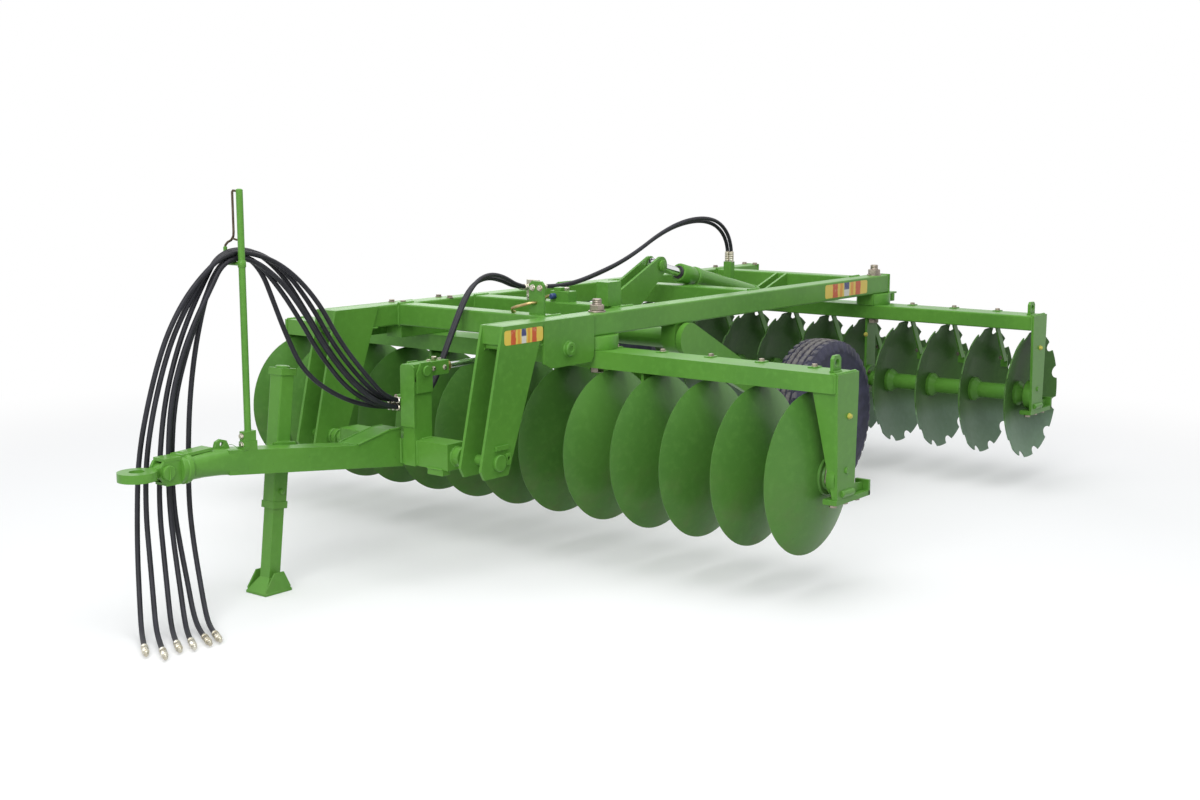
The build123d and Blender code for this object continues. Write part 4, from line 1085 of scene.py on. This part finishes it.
def add_bracket(plates, welds, pins, caps, hand):
    """One side's bracket plate and boss, tow pin, its locking plate and the rockshaft's collar."""
    face, out = hand * BEAM_SIDE, (0, hand, 0)
    low, boss_z = (0.778, 0.845) if hand > 0 else (0.832, 0.872)
    outline = [(0.402, FRAME_TOP), (0.402, low + 0.022), (0.420, low), (0.660, low), (0.707, low + 0.022)]
    plates.side_plate([*outline, (0.707, FRAME_TOP)], face, hand * 0.010)
    plates.turned((BOSS_X, face + hand * 0.009, boss_z), out, BRACKET_BOSS, 32)
    welds.weld_ring((BOSS_X, face + hand * 0.010, boss_z), out, 0.028, 0.004)
    for edge in (-1, 1):
        plate_y = hand * BEAM_Y + edge * 0.057
        weld_y = plate_y - edge * 0.012
        welds.weld((0.705, weld_y, FRAME_BOTTOM), (0.935, weld_y, FRAME_BOTTOM), 0.005)
        head = [(-0.001, 0.030), (0.006, 0.032), (0.012, 0.032), (0.015, 0.029)]
        pins.turned((TOW_X, plate_y, TOW_Z), (0, edge, 0), head, 32)
    lock_y = hand * 0.507
    bar = upright(TOW_X - 0.052, TOW_Z + 0.046, TOW_X + 0.020, TOW_Z + 0.064)
    pins.side_plate(bar, lock_y, hand * 0.008)
    lock = upright(TOW_X - 0.062, TOW_Z - 0.012, TOW_X - 0.036, TOW_Z + 0.030)
    pins.side_eye(lock, (TOW_X - 0.049, TOW_Z + 0.012), 0.007, lock_y, hand * 0.010)
    block_face = hand * 0.485
    caps.cap((SHAFT_X + 0.026, block_face, 0.846), out, 0.012)
    pins.turned((SHAFT_X, block_face, SHAFT_Z), out, SHAFT_COLLAR, 40, True)
    for edge in (-1, 1):
        y = hand * BEAM_Y + edge * 0.035
        welds.weld((SHAFT_X - 0.065, y, FRAME_BOTTOM), (SHAFT_X + 0.065, y, FRAME_BOTTOM), 0.005)


def make_frame_fittings():
    plates, studs, welds, pins, caps = Shape(), Shape(), Shape(), Shape(), Shape()
    add_pivot_studs(studs)
    add_beam_ends(plates, welds)
    add_cross_welds(welds)
    for hand in (1, -1):
        add_bracket(plates, welds, pins, caps, hand)
    for way in (-1, 1):
        head = [(0, 0.022), (0.010, 0.022), (0.012, 0.020)]
        pins.turned((LIFT_START_X, way * 0.035, LIFT_START_Z), (0, way, 0), head, 24)
    for way in (-1, 1):
        head = [(0, 0.018), (0.006, 0.018), (0.008, 0.016)]
        pins.turned((0.535, LEVEL_Y + way * 0.026, LEVEL_Z), (0, way, 0), head, 24)
    plates.green("frame_plates", "frame", 0.0015)
    studs.plated("frame_studs", dark_bolt, "frame")
    pins.green("frame_pin_heads", "frame", 0.001)
    caps.finish("frame_grease_caps", grease_cap, "frame", None, 0.0, 30)
    welds.beads("frame_welds", "frame")


def rounded_label(name, x0, x1, z0, z1, y):
    """A thin marking with rounded corners on a side face."""
    radius = 0.012
    right, left, top, low = x1 - radius, x0 + radius, z1 - radius, z0 + radius
    outline = []
    for quarter, (x, z) in enumerate(((right, top), (left, top), (left, low), (right, low))):
        for i in range(7):
            turn = math.pi / 2 * (quarter + i / 6)
            outline.append((x + radius * math.cos(turn), z + radius * math.sin(turn)))
    shape = Shape()
    shape.side_plate(outline, y, math.copysign(0.0006, y))
    shape.finish(name, banded_label(name, x0, x1, z0, z1), "frame", None)


make_frame_fittings()
for side, hand in SIDES:
    rounded_label(f"front_marking_{side}", 0.716, 0.936, 0.893, 0.948, hand * 0.5071)
    rounded_label(f"rear_marking_{side}", -1.805, -1.395, 0.888, 0.954, hand * 0.4951)

# Tow frame: tube ends, mast, drawbar nose, hitch pin, stand, jack and their welds

DRAWBAR_TAIL = (1.015, 0.485)
DRAWBAR_NOSE = (1.850, 0.585)
NOSE_START = 1.770
NOSE_LONG = 0.233
NOSE_ROUND = 0.0475
NOSE_DEEP = 0.0892


def drawbar_top(x):
    """Height of the drawbar's top face at a place along it."""
    slope = (DRAWBAR_NOSE[1] - DRAWBAR_TAIL[1]) / (DRAWBAR_NOSE[0] - DRAWBAR_TAIL[0])
    return DRAWBAR_TAIL[1] + (x - DRAWBAR_TAIL[0]) * slope


def rounded_loop(shape, x, y_half, z_low, z_high, corner):
    """A closed loop across the drawbar, from a square with a corner radius to a circle."""
    z_half = (z_high - z_low) / 2
    middle = (z_low + z_high) / 2
    corner = min(corner, y_half, z_half)
    count = 32
    points = []
    for i in range(count):
        turn = 2 * math.pi * (i + 0.5) / count
        c, s = math.cos(turn), math.sin(turn)
        y = math.copysign(y_half - corner, c) + corner * c
        z = math.copysign(z_half - corner, s) + corner * s
        points.append((x, y, middle + z))
    return shape.loop(points)


def make_nose():
    """The drawbar's end from square to round, its collars, top plates and hose lug, and the hitch pin."""
    nose = Shape()
    sections = (
        (NOSE_START, 0.0503, 0.006), (1.800, 0.0508, 0.012), (1.870, 0.0505, 0.028), (1.940, 0.0490, 0.040),
        (2.003, NOSE_ROUND, NOSE_ROUND),
    )
    loops = []
    for x, y_half, corner in sections:
        blend = min(1.0, (x - NOSE_START) / NOSE_LONG)
        top = drawbar_top(x) + 0.0006
        low = top - NOSE_DEEP
        z_low = low + (NOSE_Z - NOSE_ROUND - low) * blend
        z_high = top + (NOSE_Z + NOSE_ROUND - top) * blend
        loops.append(rounded_loop(nose, x, y_half, z_low, z_high, corner))
    nose.skin(loops)
    collar = [(0, 0.053), (0.004, 0.0565), (0.020, 0.0565), (0.024, 0.053)]
    nose.turned((1.998, 0, NOSE_Z), (1, 0, 0), collar, 40)
    lip = [(0, 0.050), (0.003, 0.0525), (0.011, 0.0525), (0.014, 0.050)]
    nose.turned((2.026, 0, NOSE_Z), (1, 0, 0), lip, 40)
    for x0, z0, x1, z1, y, thick in (
        (1.905, 0.591, 2.038, 0.585, 0.030, 0.011),
        (2.036, 0.580, 2.105, 0.580, 0.033, 0.012),
        (2.040, 0.498, 2.100, 0.498, 0.033, 0.010),
    ):
        nose.slab([(x0, -y, z0), (x1, -y, z1), (x1, y, z1), (x0, y, z0)], (0, 0, thick))
    lug = [(1.812, 0.580), (1.880, 0.586), (1.872, 0.612), (1.852, 0.620), (1.826, 0.612)]
    nose.side_eye(lug, (1.848, 0.602), 0.008, -0.007, 0.014)
    nose.green("drawbar_nose", "tow_frame", 0.0015)
    pin = Shape()
    for hand in (1, -1):
        head = [(0, 0.024), (0.003, 0.025), (0.009, 0.025), (0.011, 0.022)]
        pin.turned((HITCH_X, hand * 0.032, NOSE_Z), (0, hand, 0), head, 28)
    pin.rod([(HITCH_X, 0.044, 0.562), (HITCH_X, 0.045, 0.528), (HITCH_X + 0.004, 0.046, 0.520)], 0.0028, 8)
    pin.green("hitch_pin_heads", "tow_frame", 0.0, 30)
    boss = Shape()
    profile = [(-0.0192, 0.0272), (-0.0165, 0.0290), (0.0165, 0.0290), (0.0192, 0.0272)]
    boss.turned((HITCH_X, 0, NOSE_Z), (0, 1, 0), profile, 36)
    boss.green("eye_boss", "hitch_eye")


TUBE_HALF = 0.0515
TUBE_END = 0.290
TUBE_FACE = 0.296
TUBE_TOP = 0.5105


def add_tow_tube(plates, pins, welds, hand):
    """One side's tube end and pins, and the welds of the drawbar and mast on that side."""
    near, far = sorted((hand * TUBE_END, hand * TUBE_FACE))
    plates.block((TOW_X - TUBE_HALF, near, TOW_Z - TUBE_HALF), (TOW_X + TUBE_HALF, far, TOW_Z + TUBE_HALF))
    pins.drum((TOW_X, hand * TUBE_FACE, TOW_Z), (0, hand, 0), 0.036, 0.036, 32)
    pins.drum((TOW_X, hand * 0.350, TOW_Z), (0, hand, 0), 0.032, 0.024, 32)
    y = hand * 0.050
    welds.weld((TOW_X + 0.052, y, 0.412), (TOW_X + 0.052, y, 0.508))
    welds.weld_ring((TOW_X, hand * 0.297, TOW_Z), (0, 1, 0), 0.036, 0.004)
    welds.weld((1.027, y, 0.549), (1.085, y, 0.549), 0.004)
    welds.weld((1.090, y, 0.548), (1.252, y, 0.516), 0.004)
    y = LEVEL_Y + hand * 0.030
    welds.weld((1.000, y, TUBE_TOP), (0.944, y, TUBE_TOP), 0.005)
    welds.weld((1.0255, y, 0.414), (1.0255, y, 0.508), 0.004)


def make_mast_fittings():
    plates, bolts, welds, brass, pins = Shape(), Shape(), Shape(), Shape(), Shape()
    for hand in (1, -1):
        add_tow_tube(plates, pins, welds, hand)
    plates.block((0.985, 0.190, 0.386), (1.027, 0.270, 0.411))
    strap = [(0.069, 0.560), (0.141, 0.560), (0.141, 0.792), (0.132, 0.802), (0.078, 0.802), (0.069, 0.792)]
    plates.front_plate(strap, 1.036, 0.008)
    welds.weld((1.027, 0.190, 0.411), (1.027, 0.270, 0.411), 0.004)
    welds.weld((0.943, 0.077, TUBE_TOP), (0.943, 0.133, TUBE_TOP), 0.005)
    welds.weld((0.962, 0.0745, 0.666), (0.983, 0.0745, 0.666), 0.003)
    welds.weld((1.254, -0.047, 0.5145), (1.254, 0.047, 0.5145), 0.005)
    welds.weld_ring((1.7995, 0, NOSE_Z), (1, 0, 0), NOSE_ROUND, 0.001)
    for way in (-1, 1):
        head = [(0, 0.019), (0.004, 0.020), (0.008, 0.020), (0.010, 0.018)]
        pins.turned((0.983, LEVEL_Y + way * 0.044, LEVEL_Z), (0, way, 0), head, 28)
    for y in (0.072, -0.014):
        for z in (0.612, 0.662):
            bolts.bolt((0.985, y, z), (1, 0, 0), 0.007)
    for route in SUPPLY_ROUTES:
        way = start_way(route)
        brass.hexagon(Vector(route[0]) - way * 0.020, way, 0.0135, 0.010)
    for route in LINK_ROUTES:
        brass.hexagon((MANIFOLD_REAR, route[-1][1], route[-1][2]), (1, 0, 0), 0.0135)
    plates.green("tow_tube_ends", "tow_frame", 0.0015)
    bolts.plated("mast_bolts", dark_bolt, "tow_frame")
    brass.plated("manifold_nuts", zinc, "tow_frame")
    pins.green("tow_pins", "tow_frame", 0.001)
    welds.beads("tow_frame_welds", "tow_frame")


def make_stand_fittings():
    """The hose stand's wire latch, its foot on the drawbar, sleeve and caps."""
    x = STAND_X
    latch = (
        (0.036, 1.470), (0.000, 1.472), (-0.004, 1.468), (-0.004, 1.330), (-0.006, 1.316), (-0.018, 1.302),
        (-0.038, 1.294), (-0.050, 1.284), (-0.0535, 1.268), (-0.0535, 1.232),
    )
    wire = Shape()
    wire.rod([(x, y, z) for y, z in latch], 0.0042)
    wire.rod([(x, -0.008, 1.308), (x, 0.010, 1.304), (x, 0.028, 1.306)], 0.0036)
    wire.plated("stand_latch", rusty_wire, "tow_frame", 60)
    foot, bolts = Shape(), Shape()
    top, up = drawbar_top(x), (0, 0, 1)
    foot.block((x - 0.026, 0.0205, top + 0.028), (x + 0.026, 0.0475, top + 0.066))
    foot.block((x + 0.014, 0.016, top + 0.001), (x + 0.034, 0.052, top + 0.012))
    for z in (top + 0.020, top + 0.050):
        bolts.bolt((x + 0.028, STAND_Y, z), (1, 0, 0), 0.010)
    sleeve = [(-0.013, 0.0125), (-0.010, 0.0145), (0.010, 0.0145), (0.013, 0.0125)]
    foot.turned((x, STAND_Y, 1.222), up, sleeve, 24)
    foot.turned((x, -0.052, 1.274), up, [(0, 0.0072), (0.003, 0.0068), (0.006, 0.004)], 16)
    foot.turned((x, STAND_Y, 1.4745), up, [(0, 0.0118), (0.003, 0.010), (0.0045, 0.006)], 20)
    foot.green("stand_foot", "tow_frame", 0.001)
    bolts.plated("stand_bolts", zinc, "tow_frame")


JACK_MIDDLE = Vector((1.522, -0.089, 0.5017))
JACK_UP = Vector((-0.1189108, 0, 0.9929049))
JACK_ACROSS = Vector((0.9929049, 0, 0.1189108))
JACK_TUBE_HALF = 0.031
COLLAR_HIGH = 0.026


def on_jack(across, y, up):
    """A place given along the jack's own leaning axes."""
    return JACK_MIDDLE + JACK_ACROSS * across + Vector((0, y, 0)) + JACK_UP * up


def make_jack_fittings():
    collar, pins = Shape(), Shape()
    corners = ((-1, -1), (1, -1), (1, 1), (-1, 1))
    for up, half in ((-0.194, 0.0335), (0.296, 0.036)):
        high = up + COLLAR_HIGH
        rings = ((half, up), (half, high), (JACK_TUBE_HALF, high), (JACK_TUBE_HALF, up))
        loops = [collar.loop([on_jack(a * r, b * r, z) for a, b in corners]) for r, z in rings]
        collar.skin([*loops, loops[0]], False)
    lid = [(0, 0.027), (0.006, 0.027), (0.009, 0.023), (0.010, 0.012)]
    collar.turned(on_jack(0, 0, 0.321), JACK_UP, lid, 28)
    for edge in (-1, 1):
        across = edge * 0.052
        collar.weld(on_jack(across, JACK_TUBE_HALF, -0.052), on_jack(across, JACK_TUBE_HALF, 0.052), 0.004)
    head = [(0, 0.012), (0.002, 0.013), (0.010, 0.013), (0.012, 0.011)]
    pins.turned(on_jack(0, -JACK_TUBE_HALF, -0.130), (0, -1, 0), head, 20)
    tail = [(0, 0.010), (0.010, 0.010), (0.012, 0.007)]
    pins.turned(on_jack(0, JACK_TUBE_HALF, -0.130), (0, 1, 0), tail, 20)
    pull = [on_jack(0.016 * math.sin(t / 3), -0.041, -0.145 + 0.016 * math.cos(t / 3)) for t in range(19)]
    pins.rod(pull, 0.0024, 8)
    for edge in (-1, 1):
        for up in (0.034, -0.034):
            pins.bolt(on_jack(edge * 0.042, 0.0305, up) + Vector((0, -0.0085, 0)), (0, -1, 0), 0.010)
    collar.green("jack_collars", "tow_frame", 0.001)
    pins.green("jack_pins", "tow_frame", 0.0, 30)
    foot = Shape()
    cheek = [(1.528, 0.006), (1.636, 0.006), (1.640, 0.020), (1.598, 0.078), (1.554, 0.078), (1.524, 0.020)]
    for hand in (1, -1):
        foot.side_plate(cheek, -0.089 + hand * 0.048, hand * 0.006)
    foot.green("jack_foot_sides", "jack_leg", 0.001)


# Lift cylinder and levelling cylinder: glands, caps and pins

LIFT_WAY = Vector((0.890, 0.0, 0.208)).normalized()
LIFT_START = Vector((LIFT_START_X, 0.0, LIFT_START_Z))
LIFT_END = Vector((-0.685, 0.0, 1.070))
CYLINDER_HEAD = (
    (0, 0.0455), (0.002, 0.0485), (0.024, 0.0485), (0.026, 0.0470), (0.031, 0.0470), (0.033, 0.0440),
    (0.033, 0.0232), (0, 0.0232),
)
CYLINDER_NECK = (
    (0, 0.0430), (0.002, 0.0440), (0.112, 0.0440), (0.118, 0.0400), (0.118, 0.0232), (0, 0.0232),
)
LEVEL_GLAND = (
    (0, 0.0146), (0, 0.0235), (0.012, 0.0235), (0.014, 0.0215), (0.019, 0.0215), (0.024, 0.0190),
    (0.024, 0.0146),
)


def on_lift(along):
    """A place on the lift cylinder's axis, from its rear pin."""
    return LIFT_START + LIFT_WAY * along


def make_cylinder_barrel():
    barrel, gland, nuts = Shape(), Shape(), Shape()
    tail = [(0, 0.044), (0.003, 0.0475), (0.026, 0.0475), (0.028, 0.0455)]
    barrel.turned(on_lift(0.046), LIFT_WAY, tail, 48)
    for along in (0.075, 0.568):
        barrel.weld_ring(on_lift(along), LIFT_WAY, 0.0455, 0.003)
    barrel.turned(on_lift(0.570), LIFT_WAY, CYLINDER_HEAD, 48, True)
    barrel.turned(on_lift(0.602), LIFT_WAY, CYLINDER_NECK, 48, True)
    seal = [(0, 0.0231), (0, 0.031), (0.005, 0.031), (0.007, 0.029), (0.007, 0.0231)]
    gland.turned(on_lift(0.720), LIFT_WAY, seal, 36, True)
    for y in (-0.056, -0.078):
        nuts.hexagon((PORT_X, y, 1.040), (0, 0, 1), 0.0140)
    barrel.green("cylinder_rings", "lift_barrel")
    gland.finish("cylinder_seal", seal_black, "lift_barrel", None)
    nuts.plated("cylinder_port_nuts", zinc, "lift_barrel")


def make_crank_pins():
    """The rod's threaded end and the heads of the pins on the rockshaft's crank."""
    eye, pins = Shape(), Shape()
    profile = [(0, 0.0230), (0.004, 0.0285), (0.030, 0.0285), (0.034, 0.0260)]
    eye.turned(LIFT_END - LIFT_WAY * 0.062, LIFT_WAY, profile, 32)
    eye.green("cylinder_rod_end", "lift_rod")
    x, z = -0.685, 1.070
    for hand in (1, -1):
        head = [(0, 0.024), (0.002, 0.026), (0.009, 0.026), (0.011, 0.023)]
        pins.turned((x, hand * 0.039, z), (0, hand, 0), head, 28)
        collar = [(0, 0.046), (0.001, 0.0475), (0.006, 0.046)]
        pins.turned((SHAFT_X, hand * 0.0395, SHAFT_Z), (0, hand, 0), collar, 36)
    pins.block((-0.470, -0.0245, 0.955), (-0.400, 0.0245, 0.975))
    pins.rod([(x, 0.050, 1.094), (x, 0.050, 1.050)], 0.003, 8)
    pins.green("crank_pin_heads", "rockshaft", 0.001)


def make_leveller_fittings():
    gland, bolts, rod_end = Shape(), Shape(), Shape()
    gland.turned((0.8405, LEVEL_Y, LEVEL_Z), (-1, 0, 0), LEVEL_GLAND, 32, True)
    gland.plated("leveller_gland", brass_zinc, "leveller_box")
    for x in (0.865, 0.925):
        bolts.bolt((x, 0.132, LEVEL_Z), (0, 1, 0), 0.009)
        bolts.bolt((x, LEVEL_Y, 0.802), (0, 0, 1), 0.009)
    bolts.plug((0.895, LEVEL_Y, 0.802), (0, 0, 1), 0.011)
    bolts.plated("leveller_bolts", zinc, "leveller_box")
    profile = [(0, 0.0142), (0.003, 0.0195), (0.024, 0.0195), (0.028, 0.0150)]
    rod_end.turned((0.560, LEVEL_Y, LEVEL_Z), (1, 0, 0), profile, 28)
    rod_end.green("leveller_rod_end", "leveller_rod")


# Hydraulic fittings on the front cross tubes: the valve, its plate and pipes, and the bulkhead's nuts

PLATE_X = 0.529
PLATE_FACE = 0.541


def make_valve_group():
    """The upright plate, the small valve and the steel pipes on the front cross tubes."""
    plates, pipes, valve, blue, bolts = Shape(), Shape(), Shape(), Shape(), Shape()
    face = [(0.286, 0.963), (0.362, 0.963), (0.362, 1.082), (0.350, 1.096), (0.300, 1.096), (0.286, 1.082)]
    plates.front_plate(face, PLATE_X, 0.012)
    plates.side_plate([(0.495, 0.963), (0.530, 0.963), (0.530, 1.040)], 0.318, 0.010)
    for y in (0.344, 0.306):
        bolts.bolt((PLATE_FACE, y, 1.070), (1, 0, 0), 0.012)
    valve.block((0.038, 0.020, 0.963), (0.096, 0.120, 1.010))
    valve.block((0.046, 0.034, 1.010), (0.088, 0.072, 1.024))
    bolts.plug((0.067, 0.090, 1.010), (0, 0, 1), 0.012)
    cap = [(0, 0.011), (0.002, 0.0125), (0.022, 0.0125), (0.026, 0.009)]
    blue.turned((0.096, 0.046, 0.988), (1, 0, 0), cap, 24)
    drop = ((0.020, 0.988), (0.004, 0.986), (-0.012, 0.980), (-0.022, 0.972), (-0.026, 0.964))
    pipes.rod([(0.080, y, z) for y, z in drop], 0.006, 12)
    bend = (
        (PLATE_FACE, 0.324, 1.012), (0.560, 0.322, 1.012), (0.572, 0.312, 1.010), (0.576, 0.292, 1.004),
        (0.574, 0.250, 0.994), (0.566, 0.220, 0.984), (0.548, 0.205, 0.972), (0.528, 0.200, 0.966),
    )
    pipes.rod(bend, 0.006, 12)
    plates.green("valve_plate", "frame", 0.0015)
    pipes.plated("steel_pipes", brass_zinc, "frame", 60)
    valve.green("valve_block", "frame", 0.002)
    blue.finish("valve_caps", blue_cap, "frame", None, 0.0, 30)
    bolts.plated("valve_bolts", zinc, "frame")


def make_bulkhead_fittings():
    nuts = Shape()
    for routes, face, way in ((LINK_ROUTES, BULKHEAD_FRONT, 1), (LIFT_ROUTES, BULKHEAD_REAR, -1)):
        for route in routes:
            nuts.hexagon((face, route[0][1], route[0][2]), (way, 0, 0), 0.0140)
    for y in (-0.046, -0.088):
        nuts.bolt((BULKHEAD_FRONT, y, 0.982), (1, 0, 0), 0.008)
    nuts.plated("bulkhead_nuts", zinc, "frame")


make_nose()
make_mast_fittings()
make_stand_fittings()
make_jack_fittings()
make_cylinder_barrel()
make_crank_pins()
make_leveller_fittings()
make_valve_group()
make_bulkhead_fittings()

# Floor, lamps and sky

FLOOR_REACH = 40.0
WHITE = (1.0, 1.0, 1.0, 1.0)


def seen_rays(base):
    """1 where the floor or sky is seen, straight or in a reflection, and 0 where it gives light."""
    kinds = ("Is Camera Ray", "Is Glossy Ray", "Is Transmission Ray")
    camera, glossy, through = [base.make("ShaderNodeLightPath", {}, {}, kind) for kind in kinds]
    return base.sum("ADD", camera, glossy + through, True)


def make_stage():
    floor_data = bpy.data.meshes.new("floor")
    r = FLOOR_REACH
    floor_data.from_pydata([(-r, -r, 0), (r, -r, 0), (r, r, 0), (-r, r, 0)], [], [(0, 1, 2, 3)])
    floor = add_object("floor", floor_data)
    floor.location.z = -0.0005
    material, shader, place = new_finish("studio_floor")
    seen = seen_rays(place)
    far = place.length().over(2.3, 5.0)
    feed(shader, Base_Color=seen.tint((0.50, 0.50, 0.50), (0.93, 0.93, 0.93)), Roughness=0.9)
    tree = material.node_tree
    white = place.make("ShaderNodeEmission", {}, {"Color": WHITE, "Strength": 1.0})
    plain = Signal(tree, shader.outputs["BSDF"])
    mixed = place.make("ShaderNodeMixShader", {}, {0: seen * (0.25 + far * 0.75), 1: plain, 2: white})
    tree.links.new(mixed.socket, tree.nodes["Material Output"].inputs["Surface"])
    floor_data.materials.append(material)


def soft_lamp(name, place, aim, size, power):
    lamp = bpy.data.lights.new(name, "AREA")
    lamp.shape = "RECTANGLE"
    lamp.size, lamp.size_y = size, size
    lamp.energy = power
    add_aimed(name, lamp, place, Vector(aim) - Vector(place))


def make_sky():
    world = bpy.data.worlds.new("sky")
    scene.world = world
    world.use_nodes = True
    tree = world.node_tree
    tree.nodes.clear()
    base = Signal(tree)
    light = base.make("ShaderNodeBackground", {}, {"Color": (0.92, 0.96, 1.0, 1.0), "Strength": 0.42})
    white = base.make("ShaderNodeBackground", {}, {"Color": WHITE, "Strength": 1.0})
    mixed = base.make("ShaderNodeMixShader", {}, {0: seen_rays(base), 1: light, 2: white})
    out = tree.nodes.new("ShaderNodeOutputWorld")
    tree.links.new(mixed.socket, out.inputs["Surface"])


make_stage()
soft_lamp("overhead", (0.5, 1.0, 6.5), (0, 0, 0.5), 7.0, 330)
soft_lamp("camera_side", (7.5, 3.2, 4.2), (0, 0, 0.6), 4.0, 300)
soft_lamp("far_side", (-5.0, -5.0, 4.0), (0, 0, 0.6), 4.0, 60)
make_sky()
scene.view_settings.view_transform = "Standard"

bpy.context.view_layer.update()
